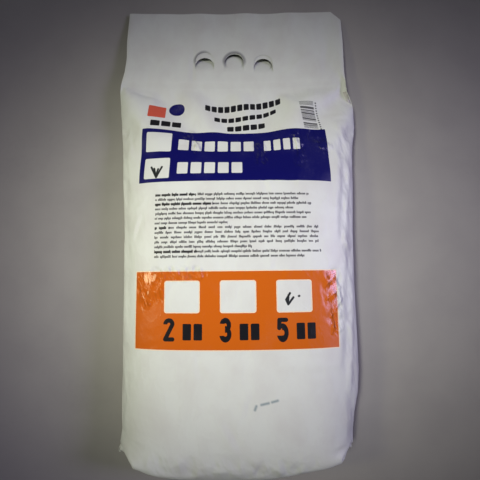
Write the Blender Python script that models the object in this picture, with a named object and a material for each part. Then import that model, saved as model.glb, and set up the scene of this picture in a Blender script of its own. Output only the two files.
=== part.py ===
"""Film bag of cement, filled with five kilograms and lying on its back on a level floor.

Metres, +Z up. The origin is the centre of the footprint, on the floor. +Y runs from the bottom seal
to the cut top edge, and +X is to the right of someone who reads the printed front, which faces up.

Two pieces: bag_film, a tube of polyethylene film with a bottom seal, a top seal and a flat flap with
three punched finger holes, and cement_fill, the powder inside it.
"""

import math
from dataclasses import dataclass

import bmesh
import bpy
import numpy as np

# The film blank
FILM_WIDTH = 0.250
FILM_THICKNESS = 0.00015
PLY_GAP = 0.0001
FLAP_LENGTH = 0.0928
FLAP_TOP_WIDTH = 0.238
MOUTH_OPENING = 0.003
TOP_SEAL_WIDTH = 0.005
BOTTOM_SEAL_WIDTH = 0.008

# The filled chamber, from the top seal to the blunt lower end
CHAMBER_LENGTH = 0.3868
FILL_HEIGHT = 0.0587
SETTLED_SLOPE = 0.048
TOP_SEAL_HEIGHT = 0.0165
WEDGE_LENGTH = 0.116
WEDGE_POWER = 1.1
UNDERSIDE_RISE_LENGTH = 0.090
SEAL_GATHER = 0.0045
SEAL_GATHER_LENGTH = 0.030
GIRTH_SHARE = 0.226
SIDE_HEIGHT_SHARE = 0.36
BASE_PRESS = 0.008

# The blunt lower end, which settled while the bag stood on it
END_DEPTH = 0.042
END_HALF_WIDTH = 0.1135
END_CORNER_SWEEP = 0.015
SWEEP_LENGTH = 0.045
BOTTOM_SEAL_HEIGHT = 0.0223
BOTTOM_SEAL_DROOP = math.radians(85)
EAR_HALF_WIDTH = 0.119
EAR_SWEEP = 0.0165

# The finger holes of the handle
HOLE_COUNT = 3
HOLE_SPACING = 0.032
HOLE_WIDTH = 0.022
HOLE_LENGTH = 0.022
HOLE_FROM_TOP_SEAL = 0.020
TONGUE_SLACK = 0.0005
TONGUE_CURL = math.radians(60)
TONGUE_ROOT = 0.001
TONGUE_THICKNESS_SHARE = 0.8

# The powder
FILL_CLEARANCE = 0.0005
FILL_SIDE_CLEARANCE = 0.0012
FILL_NOSE_FROM_SEAL = 0.012
FILL_NOSE_LENGTH = 0.004
FILL_NOSE_INSET = 0.006

# Roundness of a cross-section: 1 is an ellipse, less is squarer
SIDE_ROUNDNESS = 0.80
CROWN_ROUNDNESS = 0.88
BASE_ROUNDNESS = 0.45
FLAP_ROUNDNESS = 0.10
SWELL_POWER = 1.8
END_ROUNDNESS = 0.50
END_BASE_POWER = 0.5
SWEEP_POWER = 2.0
FLAP_DROOP_POWER = 1.3
FLAP_NARROWING_LENGTH = 0.040

# Mesh resolution
RING_POINTS = 44
CHAMBER_ROWS = 22
END_ROWS = 7
FLAP_ROWS = 5
TONGUE_ROWS = 8
TONGUE_COLUMNS = 6
ARCH_POINTS = 16
VENT_COLUMNS = 2

# Places that follow from the sizes above
PLY_HALF = FILM_THICKNESS + PLY_GAP / 2
SEAL_REACH = BOTTOM_SEAL_WIDTH * math.cos(BOTTOM_SEAL_DROOP)
TOTAL_LENGTH = SEAL_REACH + CHAMBER_LENGTH + FLAP_LENGTH
TOP_EDGE_Y = TOTAL_LENGTH / 2
TOP_SEAL_Y = TOP_EDGE_Y - FLAP_LENGTH
LOWER_END_Y = TOP_SEAL_Y - CHAMBER_LENGTH
END_START_Y = LOWER_END_Y + END_DEPTH
HOLE_CHORD = HOLE_FROM_TOP_SEAL
HOLE_CROWN = HOLE_CHORD + HOLE_LENGTH


@dataclass
class Station:
    """One cross-section of the tube: its place along the bag and the reach of its outline."""

    y: float
    half_width: float
    low: float
    side: float
    high: float
    crown: float
    base: float
    sweep: float = 0.0
    floor: float = 0.0


def clear_scene():
    for obj in list(bpy.data.objects):
        bpy.data.objects.remove(obj)


def make_material(name, color, roughness):
    material = bpy.data.materials.new(name)
    material.use_nodes = True
    shader = material.node_tree.nodes["Principled BSDF"]
    shader.inputs["Base Color"].default_value = (*color, 1.0)
    shader.inputs["Roughness"].default_value = roughness
    shader.inputs["Metallic"].default_value = 0.0
    return material


def blend(start, end, share):
    return start + (end - start) * share


def top_height(depth):
    """Height of the crown at a distance below the top seal: a wedge of powder that thins out towards
    the seal, under a surface that settled on a slight slope."""
    settled = FILL_HEIGHT - SETTLED_SLOPE * max(0.0, CHAMBER_LENGTH - END_DEPTH - depth)
    left = max(0.0, 1 - depth / WEDGE_LENGTH)
    return blend(TOP_SEAL_HEIGHT + PLY_HALF, settled, 1 - left**WEDGE_POWER)


def low_height(depth):
    """Height of the underside at a distance below the top seal: it comes down to the floor."""
    left = max(0.0, 1 - depth / UNDERSIDE_RISE_LENGTH)
    return blend(-BASE_PRESS, TOP_SEAL_HEIGHT - PLY_HALF, left**2)


def seal_gather(depth):
    """How far the soft pleats at the top seal draw in each side. It fades out below the seal."""
    return SEAL_GATHER * max(0.0, 1 - depth / SEAL_GATHER_LENGTH) ** 2


def end_sweep(y):
    """How far the side edges of a row lie behind its middle, near the blunt lower end."""
    left = max(0.0, 1 - (y - LOWER_END_Y) / SWEEP_LENGTH)
    return END_CORNER_SWEEP * left**2


def chamber_station(depth, inset, side_inset=0.0):
    """Section of the chamber at a distance below the top seal, drawn in by the inset and, at its two
    sides, by the side inset too."""
    high, low = top_height(depth), low_height(depth)
    side = blend(max(low, 0.0), high, SIDE_HEIGHT_SHARE)
    thickness = high - max(low, 0.0)
    swell = (thickness / FILL_HEIGHT) ** SWELL_POWER
    drawn_in = GIRTH_SHARE * thickness + seal_gather(depth)
    y = TOP_SEAL_Y - depth
    return Station(
        y=y,
        half_width=FILM_WIDTH / 2 - drawn_in - inset - side_inset,
        low=low + inset,
        side=side,
        high=high - inset,
        crown=blend(FLAP_ROUNDNESS, CROWN_ROUNDNESS, swell),
        base=blend(FLAP_ROUNDNESS, BASE_ROUNDNESS, swell),
        sweep=end_sweep(y),
        floor=inset,
    )


def end_station(turn, inset, side_inset=0.0):
    """Section of the blunt lower end. turn goes from 0 at the closing line to 1 at the chamber."""
    rise = math.sin(turn * math.pi / 2)
    body = chamber_station(CHAMBER_LENGTH - END_DEPTH, inset, side_inset)
    y = LOWER_END_Y + inset + (END_DEPTH - inset) * (1 - math.cos(turn * math.pi / 2))
    return Station(
        y=y,
        half_width=blend(END_HALF_WIDTH - inset - side_inset, body.half_width, rise),
        low=blend(BOTTOM_SEAL_HEIGHT, body.low, rise**END_BASE_POWER),
        side=blend(BOTTOM_SEAL_HEIGHT, body.side, rise),
        high=blend(BOTTOM_SEAL_HEIGHT, body.high, rise),
        crown=blend(END_ROUNDNESS, body.crown, rise**2),
        base=body.base,
        sweep=end_sweep(y),
        floor=inset,
    )


def flap_height(reach):
    """Height of the flap's middle plane at a distance above the top seal: it droops to the floor."""
    droop = 1 - (reach / FLAP_LENGTH) ** FLAP_DROOP_POWER
    return blend(flap_half(FLAP_LENGTH), TOP_SEAL_HEIGHT, droop)


def flap_half(reach):
    """Half the flap's thickness: its plies leave the top seal together and part towards the mouth."""
    share = max(0.0, reach - TOP_SEAL_WIDTH) / (FLAP_LENGTH - TOP_SEAL_WIDTH)
    return PLY_HALF + MOUTH_OPENING / 2 * share


def flap_station(reach, inset):
    """Section of the flap at a distance above the top seal. Soft pleats draw in its width."""
    middle, half = flap_height(reach), flap_half(reach)
    narrowing = min(1.0, reach / FLAP_NARROWING_LENGTH)
    return Station(
        y=TOP_SEAL_Y + reach,
        half_width=blend(FILM_WIDTH / 2 - SEAL_GATHER, FLAP_TOP_WIDTH / 2, narrowing) - inset,
        low=middle - half + inset,
        side=middle,
        high=middle + half - inset,
        crown=FLAP_ROUNDNESS,
        base=FLAP_ROUNDNESS,
        floor=inset,
    )


def seal_station(share):
    """Section of the bottom seal, two plies welded. share is 0 at its root and 1 at its cut edge."""
    reach = share * BOTTOM_SEAL_WIDTH
    middle = BOTTOM_SEAL_HEIGHT - reach * math.sin(BOTTOM_SEAL_DROOP)
    return Station(
        y=LOWER_END_Y - reach * math.cos(BOTTOM_SEAL_DROOP),
        half_width=blend(END_HALF_WIDTH, EAR_HALF_WIDTH, share),
        low=middle - FILM_THICKNESS,
        side=middle,
        high=middle + FILM_THICKNESS,
        crown=FLAP_ROUNDNESS,
        base=FLAP_ROUNDNESS,
        sweep=blend(END_CORNER_SWEEP, EAR_SWEEP, share),
    )


def ring(station):
    """Points round one section. Each coordinate is a power of a cosine or a sine, so the outline is
    a squared ellipse. The underside is pressed flat where it would dip under the floor."""
    angle = np.arange(RING_POINTS) * 2 * math.pi / RING_POINTS
    across = np.cos(angle)
    up = np.sin(angle)
    across[np.abs(across) < 1e-9] = 0.0
    up[np.abs(up) < 1e-9] = 0.0
    x = station.half_width * np.sign(across) * np.abs(across) ** SIDE_ROUNDNESS
    crown = station.side + (station.high - station.side) * np.abs(up) ** station.crown
    base = station.side - (station.side - station.low) * np.abs(up) ** station.base
    z = np.where(up >= 0, crown, np.maximum(base, station.floor))
    y = station.y + station.sweep * np.abs(x / station.half_width) ** SWEEP_POWER
    return np.column_stack([x, y, z])


def chamber_depths():
    """Distances below the top seal, closer together near the seal."""
    share = np.linspace(0, 1, CHAMBER_ROWS + 1)
    return (CHAMBER_LENGTH - END_DEPTH) * share**1.3


def end_turns():
    """Turns of the lower end's rows, from the row next to the chamber down to the closing line."""
    return np.linspace(1, 0, END_ROWS + 1)[1:]


def flap_reaches():
    """Distances above the top seal: the seal's own edge, rows round the holes and the top edge."""
    seat = [TOP_SEAL_WIDTH, HOLE_CHORD - 2 * TONGUE_ROOT, HOLE_CHORD + TONGUE_ROOT]
    beyond = np.linspace(HOLE_CHORD + TONGUE_ROOT, FLAP_LENGTH, FLAP_ROWS + 1)[1:]
    return [*seat, *beyond]


def film_stations(inset):
    """Sections from the top edge of the flap down to the row above the closing line."""
    stations = [flap_station(reach, inset) for reach in reversed(flap_reaches())]
    stations += [chamber_station(depth, inset) for depth in chamber_depths()]
    return stations + [end_station(turn, inset) for turn in end_turns()]


def add_rings(mesh, stations):
    return [[mesh.verts.new(point) for point in ring(station)] for station in stations]


def add_cell(mesh, corners, outward):
    """Two triangles on a cell of the tube. Every tube splits its cells along the same diagonal, so
    nested tubes stay parallel. A corner pair that shares one point leaves one triangle."""
    for triangle in ((0, 1, 2), (0, 2, 3)):
        points = [corners[i] for i in triangle]
        if len(set(points)) == 3:
            mesh.faces.new(points if outward else points[::-1])


def add_tube(mesh, rings, outward, skip=()):
    """Cells between neighbouring rings. skip lists (row, column) cells that stay open."""
    for row in range(len(rings) - 1):
        for column in range(RING_POINTS):
            if (row, column) in skip:
                continue
            after = (column + 1) % RING_POINTS
            corners = [
                rings[row][column],
                rings[row][after],
                rings[row + 1][after],
                rings[row + 1][column],
            ]
            add_cell(mesh, corners, outward)


def close_end(mesh, last_ring, outward):
    """Joins the upper and lower halves of a flat ring pair by pair, from side fold to side fold."""
    for column in range(RING_POINTS // 2):
        upper = (last_ring[column], last_ring[column + 1])
        lower = (last_ring[-column % RING_POINTS], last_ring[-column - 1])
        corners = [upper[0], upper[1], lower[1], lower[0]]
        distinct = list(dict.fromkeys(corners))
        mesh.faces.new(distinct if outward else distinct[::-1])


def seal_cells(row):
    """Cells of one row of the inner tube that the top seal fills, leaving a vent at each side fold."""
    half = RING_POINTS // 2
    upper = range(VENT_COLUMNS, half - VENT_COLUMNS)
    return [(row, column) for column in upper], [
        (row, RING_POINTS - 1 - column) for column in upper
    ]


def weld_plies(mesh, rings, row):
    """Walls of the top seal: they join the rim of the upper opening to that of the lower one."""
    half = RING_POINTS // 2
    first, last = VENT_COLUMNS, half - VENT_COLUMNS

    def wall(row_a, column_a, row_b, column_b):
        mesh.faces.new(
            [
                rings[row_a][column_a],
                rings[row_b][column_b],
                rings[row_b][-column_b % RING_POINTS],
                rings[row_a][-column_a % RING_POINTS],
            ]
        )

    for column in range(first, last):
        wall(row, column + 1, row, column)
        wall(row + 1, column, row + 1, column + 1)
    wall(row, first, row + 1, first)
    wall(row + 1, last, row, last)


def to_object(mesh, name, material):
    data = bpy.data.meshes.new(name)
    mesh.to_mesh(data)
    mesh.free()
    data.materials.append(material)
    obj = bpy.data.objects.new(name, data)
    bpy.context.scene.collection.objects.link(obj)
    return obj


def make_bag_film(material):
    """The film as one closed solid: outer tube, inner tube, mouth at the top edge and two seals."""
    mesh = bmesh.new()
    outer_stations = film_stations(0.0)
    outer_stations[-1] = seal_station(0.0)
    outer = add_rings(mesh, [*outer_stations, seal_station(0.5), seal_station(1.0)])
    inner = add_rings(mesh, film_stations(FILM_THICKNESS)[:-1])
    closing_line = ring(end_station(0.0, FILM_THICKNESS))
    line = [mesh.verts.new(point) for point in closing_line[: RING_POINTS // 2 + 1]]
    inner.append([line[min(i, RING_POINTS - i)] for i in range(RING_POINTS)])
    seal_row = len(flap_reaches()) - 1
    upper_cells, lower_cells = seal_cells(seal_row)
    add_tube(mesh, outer, outward=True)
    close_end(mesh, outer[-1], outward=True)
    add_tube(mesh, inner, outward=False, skip={*upper_cells, *lower_cells})
    weld_plies(mesh, inner, seal_row)
    add_tube(mesh, [inner[0], outer[0]], outward=True)
    bmesh.ops.recalc_face_normals(mesh, faces=mesh.faces)
    return to_object(mesh, "bag_film", material)


def fill_stations():
    """Sections of the powder, from its thin nose below the top seal to the lower end."""
    inset = FILM_THICKNESS + FILL_CLEARANCE
    depths = [depth for depth in chamber_depths() if depth > FILL_NOSE_FROM_SEAL]
    return [chamber_station(depth, inset, FILL_SIDE_CLEARANCE) for depth in depths] + [
        end_station(turn, inset, FILL_SIDE_CLEARANCE) for turn in end_turns()
    ]


def make_cement_fill(material):
    """The powder as one solid, closed by a line at each end."""
    mesh = bmesh.new()
    stations = fill_stations()
    first = stations[0]
    nose_ring = ring(
        Station(
            y=first.y + FILL_NOSE_LENGTH,
            half_width=first.half_width - FILL_NOSE_INSET,
            low=first.side,
            side=first.side,
            high=first.side,
            crown=1.0,
            base=1.0,
        )
    )
    tail_ring = ring(stations[-1])
    half = RING_POINTS // 2
    nose = [mesh.verts.new(point) for point in nose_ring[: half + 1]]
    tail = [mesh.verts.new(point) for point in tail_ring[: half + 1]]
    folded = [min(i, RING_POINTS - i) for i in range(RING_POINTS)]
    rings = [
        [nose[i] for i in folded],
        *add_rings(mesh, stations[:-1]),
        [tail[i] for i in folded],
    ]
    add_tube(mesh, rings, outward=True)
    bmesh.ops.recalc_face_normals(mesh, faces=mesh.faces)
    return to_object(mesh, "cement_fill", material)


def hole_centres():
    middle = (HOLE_COUNT - 1) / 2
    return [(number - middle) * HOLE_SPACING for number in range(HOLE_COUNT)]


def arch_outline(half_width, length, sill):
    """Outline of a finger hole: a straight chord, straight sides and a round crown."""
    angles = np.linspace(0, math.pi, ARCH_POINTS + 1)
    crown = [
        (half_width * math.cos(a), length - half_width + half_width * math.sin(a))
        for a in angles
    ]
    return [(-half_width, sill), (half_width, sill), *crown]


def make_hole_cutter(centre):
    """Upright prism of one finger hole, through both plies."""
    mesh = bmesh.new()
    chord_y = TOP_SEAL_Y + HOLE_CHORD
    outline = arch_outline(HOLE_WIDTH / 2, HOLE_LENGTH, 0.0)
    low, high = -0.005, TOP_SEAL_HEIGHT + 0.01
    floor = [mesh.verts.new((centre + x, chord_y + y, low)) for x, y in outline]
    face = mesh.faces.new(floor)
    bmesh.ops.extrude_face_region(mesh, geom=[face])
    mesh.verts.ensure_lookup_table()
    for vert in mesh.verts:
        if vert not in floor:
            vert.co.z = high
    bmesh.ops.recalc_face_normals(mesh, faces=mesh.faces)
    cutter = to_object(mesh, f"hole_cutter_{centre:+.3f}", None)
    cutter.hide_render = True
    cutter.display_type = "WIRE"
    return cutter


def ply_height(reach, side):
    """Height of the middle of one ply of the flap. side is 1 for the upper ply, -1 for the lower."""
    return flap_height(reach) + side * (flap_half(reach) - FILM_THICKNESS / 2)


def tongue_path(side):
    """Line of one ply's tongue, from its root inside the ply: it leaves the chord along the flap and
    curls down evenly. Returns rows of distance past the chord, y, z and slope."""
    root_z = ply_height(HOLE_CHORD - TONGUE_ROOT, side)
    z = ply_height(HOLE_CHORD, side)
    slope = math.atan2(root_z - z, TONGUE_ROOT)
    shares = np.linspace(0, 1, TONGUE_ROWS + 1)
    length = HOLE_LENGTH - TONGUE_SLACK
    y = TOP_SEAL_Y + HOLE_CHORD
    rows = [(-TONGUE_ROOT, y - TONGUE_ROOT, root_z, slope)]
    rows.append((0.0, y, z, slope))
    for before, after in zip(shares[:-1], shares[1:]):
        turned = slope + TONGUE_CURL * (before + after) / 2
        step = (after - before) * length
        y += step * math.cos(turned)
        z -= step * math.sin(turned)
        rows.append((after * length, y, z, slope + TONGUE_CURL * after))
    return rows


def tongue_half_width(past):
    """Half-width of a tongue at a distance past the chord: straight sides, then a round crown."""
    radius = HOLE_WIDTH / 2 - TONGUE_SLACK
    above = past - (HOLE_LENGTH - TONGUE_SLACK - radius)
    if above <= 0:
        return radius
    return math.sqrt(max(radius**2 - above**2, (radius / 6) ** 2))


def make_tongue(centre, side):
    """One tongue of punched film, bent down through its hole. Its root lies inside the ply."""
    mesh = bmesh.new()
    half = FILM_THICKNESS * TONGUE_THICKNESS_SHARE / 2
    grid = []
    for past, y, z, slope in tongue_path(side):
        width = tongue_half_width(past)
        lift = (half * math.sin(slope), half * math.cos(slope))
        xs = centre + np.linspace(-width, width, TONGUE_COLUMNS + 1)
        upper = [mesh.verts.new((x, y + lift[0], z + lift[1])) for x in xs]
        lower = [mesh.verts.new((x, y - lift[0], z - lift[1])) for x in xs]
        grid.append(upper + lower[::-1])
    for row, after in zip(grid[:-1], grid[1:]):
        for i in range(len(row)):
            j = (i + 1) % len(row)
            mesh.faces.new([row[i], row[j], after[j], after[i]])
    for row in (grid[0], grid[-1]):
        for i in range(TONGUE_COLUMNS):
            mesh.faces.new([row[i], row[i + 1], row[-i - 2], row[-i - 1]])
    bmesh.ops.recalc_face_normals(mesh, faces=mesh.faces)
    tongue = to_object(mesh, f"tongue_{centre:+.3f}_{side:+d}", None)
    tongue.hide_render = True
    tongue.display_type = "WIRE"
    return tongue


def add_boolean(obj, other, operation):
    modifier = obj.modifiers.new(other.name, "BOOLEAN")
    modifier.operation = operation
    modifier.solver = "EXACT"
    modifier.object = other


def punch_handle(film):
    """Cuts the finger holes through both plies and leaves each ply's tongue hanging in its hole."""
    for centre in hole_centres():
        add_boolean(film, make_hole_cutter(centre), "DIFFERENCE")
    for centre in hole_centres():
        for side in (1, -1):
            add_boolean(film, make_tongue(centre, side), "UNION")


def shade(obj):
    obj.data.shade_smooth()
    obj.data.set_sharp_from_angle(angle=math.radians(50))


def main():
    clear_scene()
    white_film = make_material("white_film", (0.86, 0.87, 0.86), 0.35)
    cement = make_material("cement_powder", (0.78, 0.77, 0.74), 0.95)
    film = make_bag_film(white_film)
    fill = make_cement_fill(cement)
    shade(film)
    shade(fill)
    punch_handle(film)


main()
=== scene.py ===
# %% [markdown]
# # A small bag of white cement
# The real object is a pillow bag: one tube of white polyethylene film, welded across at both ends, with
# about five kilograms of cement powder inside. Above the upper weld the tube goes on as a flat flap of
# two plies with three punched finger holes. The bag lies on its back, seen from straight above.
#
# Everything here is in metres, and in millimetres on the film where the text says so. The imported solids
# give the place and the size, and this lesson dresses them: a film that is pressed out by its powder and
# wrinkles where it has to, the print, the powder, and soft light.

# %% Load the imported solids
import math
from functools import partialmethod, reduce

import bpy
import numpy as np
from mathutils import Matrix, Vector, geometry


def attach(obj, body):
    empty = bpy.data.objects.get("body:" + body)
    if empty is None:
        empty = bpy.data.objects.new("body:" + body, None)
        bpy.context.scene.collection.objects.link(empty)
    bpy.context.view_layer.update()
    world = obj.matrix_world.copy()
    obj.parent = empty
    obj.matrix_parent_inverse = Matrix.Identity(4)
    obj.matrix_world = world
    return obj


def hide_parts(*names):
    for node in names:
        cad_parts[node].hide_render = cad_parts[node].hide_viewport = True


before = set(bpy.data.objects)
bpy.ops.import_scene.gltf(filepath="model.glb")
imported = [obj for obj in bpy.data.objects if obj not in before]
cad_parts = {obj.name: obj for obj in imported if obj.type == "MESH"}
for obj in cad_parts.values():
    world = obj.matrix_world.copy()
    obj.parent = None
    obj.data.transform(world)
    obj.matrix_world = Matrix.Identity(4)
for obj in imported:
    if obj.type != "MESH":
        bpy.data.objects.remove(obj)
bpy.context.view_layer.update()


def new_object(name, data):
    """An object in the scene for a camera, a mesh or a lamp."""
    made = bpy.data.objects.new(name, data)
    bpy.context.scene.collection.objects.link(made)
    return made


# %% [markdown]
# ## Camera
# The photograph was taken by hand with a phone, almost straight down, from about 38 cm above the floor.
# The camera's place was found by fitting the bag's outline, so it is written here as plain numbers: where
# it stands, how far it leans back from straight down, and how much it is rolled. A camera matrix is then
# just its three axes as columns, which is easier to read than three Euler angles.

# %% Camera
CAMERA_PLACE = (0.0028, -0.0499, 0.3821)
CAMERA_LEAN = math.radians(4.79)
CAMERA_ROLL = math.radians(0.59)


def aimed_matrix(place, lean, roll):
    """Camera axes as columns: right and up turned by roll, and the view leaning from straight down to +Y."""
    c, s = math.cos(lean), math.sin(lean)
    cr, sr = math.cos(roll), math.sin(roll)
    right = Vector((cr, -sr * c, -sr * s))
    up = Vector((sr, cr * c, cr * s))
    back = Vector((0, -s, c))
    turn = Matrix((right, up, back)).transposed().to_4x4()
    return Matrix.Translation(place) @ turn


camera_data = bpy.data.cameras.new("camera")
camera_data.sensor_width = 36
camera_data.lens = 27
camera_data.shift_x = -0.001
camera_data.shift_y = 0.005
camera_data.clip_start = 0.01
camera = new_object("camera", camera_data)
camera.matrix_world = aimed_matrix(CAMERA_PLACE, CAMERA_LEAN, CAMERA_ROLL)
bpy.context.scene.camera = camera
print("camera", [round(v, 3) for v in camera.location])

# %% [markdown]
# ## The film as a grid
# A bag of film can be modelled as a swollen box with noise on it, but its wrinkles would run the wrong
# way. The wrinkles of a real bag come from one fact: the film bends easily but hardly stretches. So the
# tube is laid out flat, as it comes off the roll, and numpy lets it settle: powder presses it out, its
# own edges hold their length, and what is too long folds by itself.
#
# The grid has rows along the bag and columns round the tube. Column 0 is the right side fold and column
# `half` the left one, so column c of the front ply faces column -c of the back ply.

# %% Film sizes and grid
FILM_WIDTH = 0.250  # the empty tube, lying flat
CHAMBER_FILM = 0.409  # film between the two welds, measured along it
FLAP_FILM = 0.093  # film above the upper weld
FIN_FILM = 0.008  # the lower weld and what is cut off below it
FILM_THICKNESS = 0.00015
START_HEIGHT = 0.002  # of the flat tube over the floor, before it is filled
START_GAP = 0.0012


class FilmTube:
    """How finely the film is divided: half the columns, then the rows of fin, chamber and flap."""

    def __init__(self, half, fin_rows, chamber_rows, flap_rows, weld_rows):
        self.half = half
        self.columns = 2 * half
        self.fin = fin_rows
        self.weld = fin_rows + chamber_rows
        self.weld_rows = weld_rows
        fin = np.linspace(-FIN_FILM, 0, fin_rows + 1)[:-1]
        chamber = np.linspace(0, CHAMBER_FILM, chamber_rows + 1)[:-1]
        flap = np.linspace(CHAMBER_FILM, CHAMBER_FILM + FLAP_FILM, flap_rows + 1)
        self.along = np.concatenate([fin, chamber, flap])
        self.rows = len(self.along)
        self.step = FILM_WIDTH / half
        self.gaps = np.diff(self.along)


def flat_tube(tube):
    """The empty tube lying flat: x runs from the right fold to the left one and back."""
    column = np.arange(tube.columns)
    to_left, to_right = FILM_WIDTH / 2 - tube.step * column, tube.step * (column - tube.half) - FILM_WIDTH / 2
    ply = np.where((column > 0) & (column < tube.half), 1, np.where(column > tube.half, -1, 0))
    points = np.zeros((3, tube.rows, tube.columns), np.float32)
    points[0] = np.where(column <= tube.half, to_left, to_right)
    points[1] = (tube.along - CHAMBER_FILM / 2)[:, None]
    points[2] = START_HEIGHT + START_GAP / 2 * ply
    return points


coarse = FilmTube(32, 1, 52, 13, 1)
middle = FilmTube(64, 2, 104, 26, 1)
fine = FilmTube(128, 4, 208, 52, 2)
print("film points", [t.rows * t.columns for t in (coarse, middle, fine)])

# %% [markdown]
# ## Film that keeps its length
# Each pair of neighbouring points is a tiny inextensible thread. `hold_length` moves both ends of a
# thread until it has its own length again. Threads that share a point can't be mended at once, so they
# are taken in two turns, the even ones and then the odd ones. Threads across the diagonals, held only by
# half, stop the film from shearing like a net. One extra column repeats column 0, so that a thread round
# the back needs no special case.

# %% Threads of the film
HALF_HELD = 0.25  # each end moves by a quarter of what is missing


def hold_length(a, b, rest, share=0.5):
    """Moves the ends a and b of each thread along it. With share 0.5 its length becomes rest in one go."""
    d = b - a
    length = np.sqrt(d[0] * d[0] + d[1] * d[1] + d[2] * d[2])
    d *= share * (1 - rest / np.maximum(length, 1e-7))
    a += d
    b -= d


def hold_film(points, widths, lengths, diagonals, rows, columns):
    """One round over all threads: along the bag, round the tube, and across both diagonals of every cell.

    After each turn round the tube, column 0 and the extra column that repeats it are made the same again.
    """
    evens = slice(0, columns, 2), slice(1, columns, 2), columns, 0
    odds = slice(1, columns, 2), slice(2, columns + 1, 2), 0, columns
    turns = []
    for first in (0, 1):
        last = first + (rows - first) // 2 * 2
        turns.append((points[:, first:last:2], points[:, first + 1 : last : 2], slice(first, last, 2)))
    points[:, :, columns] = points[:, :, 0]
    for lower, upper, own in turns:
        hold_length(lower[:, :, :columns], upper[:, :, :columns], lengths[own])
    for left, right, repeat, source in (evens, odds):
        hold_length(points[:, :, left], points[:, :, right], widths)
        points[:, :, repeat] = points[:, :, source]
    for lower, upper, own in turns:
        for left, right, repeat, source in (evens, odds):
            hold_length(lower[:, :, left], upper[:, :, right], diagonals[own], HALF_HELD)
            hold_length(upper[:, :, left], lower[:, :, right], diagonals[own], HALF_HELD)
            points[:, :, repeat] = points[:, :, source]


# %% [markdown]
# ## Powder, stiffness and welds
# Settled powder has a nearly level top and pushes on the film like a thick liquid, harder the deeper it
# is. Its top lies a little lower towards the upper weld, because the powder slid down when the bag was
# carried by its flap. The push is a pressure along the film's outward normal, and the level rises until
# the bag holds its litres. The film's stiffness is a force against its change of curvature. At the welds
# both plies are one, and in the flap they lie close together.

# %% Forces on the film
GRAVITY = 9.81
POWDER_DENSITY = 1284.0
POWDER_VOLUME = 0.00360
LEVEL_SLOPE = 0.055  # how fast the powder's top falls towards the upper weld
SHOULDER_SLOPE = 0.60  # how much faster it falls over the last part
SHOULDER_START = CHAMBER_FILM / 2 - 0.105
FILM_WEIGHT = 0.138 * GRAVITY  # of a square metre
WELD_HEIGHT = 0.0165
WELD_HOLD = 150000.0
FIN_HEIGHT = 0.010
FIN_HOLD = 20000.0
FLAP_STIFFER = 1.5  # round the tube, where the flap's two plies lie together
PLY_GAP = (0.0005, 0.003)  # between the flap's plies
F32 = np.float32


def outward_normals(points, chamber, rises, columns):
    """Area-weighted normals of the chamber's film: the step round the tube crossed with the step along it."""
    own = points[:, chamber, :columns]
    round_step = np.empty(own.shape, F32)
    round_step[:, :, 1:] = points[:, chamber, 2:] - points[:, chamber, :-2]
    round_step[:, :, 0] = own[:, :, 1] - own[:, :, -1]
    along_step = np.empty_like(round_step)
    along_step[:, 1:-1] = own[:, 2:] - own[:, :-2]
    along_step[:, 0] = 2 * (own[:, 1] - own[:, 0])
    along_step[:, -1] = 2 * (own[:, -1] - own[:, -2])
    normal = np.empty_like(round_step)
    normal[0] = round_step[2] * along_step[1] - round_step[1] * along_step[2]
    normal[1] = round_step[0] * along_step[2] - round_step[2] * along_step[0]
    normal[2] = round_step[1] * along_step[0] - round_step[0] * along_step[1]
    normal /= 4 * rises
    return normal, own


def round_change(values):
    """Second difference round the tube, where the last column comes before column 0."""
    change = np.empty_like(values)
    change[:, :, 1:-1] = values[:, :, 2:] - 2 * values[:, :, 1:-1] + values[:, :, :-2]
    change[:, :, 0] = values[:, :, 1] - 2 * values[:, :, 0] + values[:, :, -1]
    change[:, :, -1] = values[:, :, 0] - 2 * values[:, :, -1] + values[:, :, -2]
    return change


def stiffness_of_rows(rows, stiffness, first, factor):
    """The chamber's stiffness, and factor times as much from the flap's row `first` on."""
    share = np.full((1, rows, 1), stiffness, F32)
    share[0, first:] = stiffness * factor
    return share


def bending_force(own, stiffness, step, rises, fold_share, flap_row, flap_stiffness):
    """Minus the second difference of the curvature, round the tube and along it, times the stiffness."""
    rows = own.shape[1]
    change = round_change(round_change(own) * fold_share)
    force = -stiffness_of_rows(rows, stiffness, flap_row + 3, FLAP_STIFFER) / F32(step**4) * change
    moment = np.zeros_like(change)
    moment[:, 1:-1] = (own[:, 2:] - 2 * own[:, 1:-1] + own[:, :-2]) / (rises[:, 1:-1] ** 2)
    moment *= stiffness_of_rows(rows, stiffness, flap_row + 1, flap_stiffness)
    change = np.zeros_like(moment)
    change[:, 1:-1] = moment[:, 2:] - 2 * moment[:, 1:-1] + moment[:, :-2]
    change[:, 0] = moment[:, 1]
    change[:, -1] = moment[:, -2]
    return force - change / (rises * rises)


def join_plies(points, tube):
    """Brings both plies together at the welds, and holds the flap's plies a small gap apart."""
    half, columns = tube.half, tube.columns
    for rows in (slice(0, tube.fin + 1), slice(tube.weld, tube.weld + tube.weld_rows + 1)):
        mean = (points[:, rows, 1:half] + points[:, rows, columns - 1 : half : -1]) / 2
        points[:, rows, 1:half] = mean
        points[:, rows, columns - 1 : half : -1] = mean
    flap = slice(tube.weld + tube.weld_rows + 1, tube.rows)
    front = points[:, flap, 1:half]
    back = points[:, flap, columns - 1 : half : -1]
    mean = (front + back) / 2
    part = np.clip((front[2] - back[2]) / 2, PLY_GAP[0] / 2, PLY_GAP[1] / 2)
    front[:] = mean
    back[:] = mean
    front[2] += part
    back[2] -= part


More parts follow.
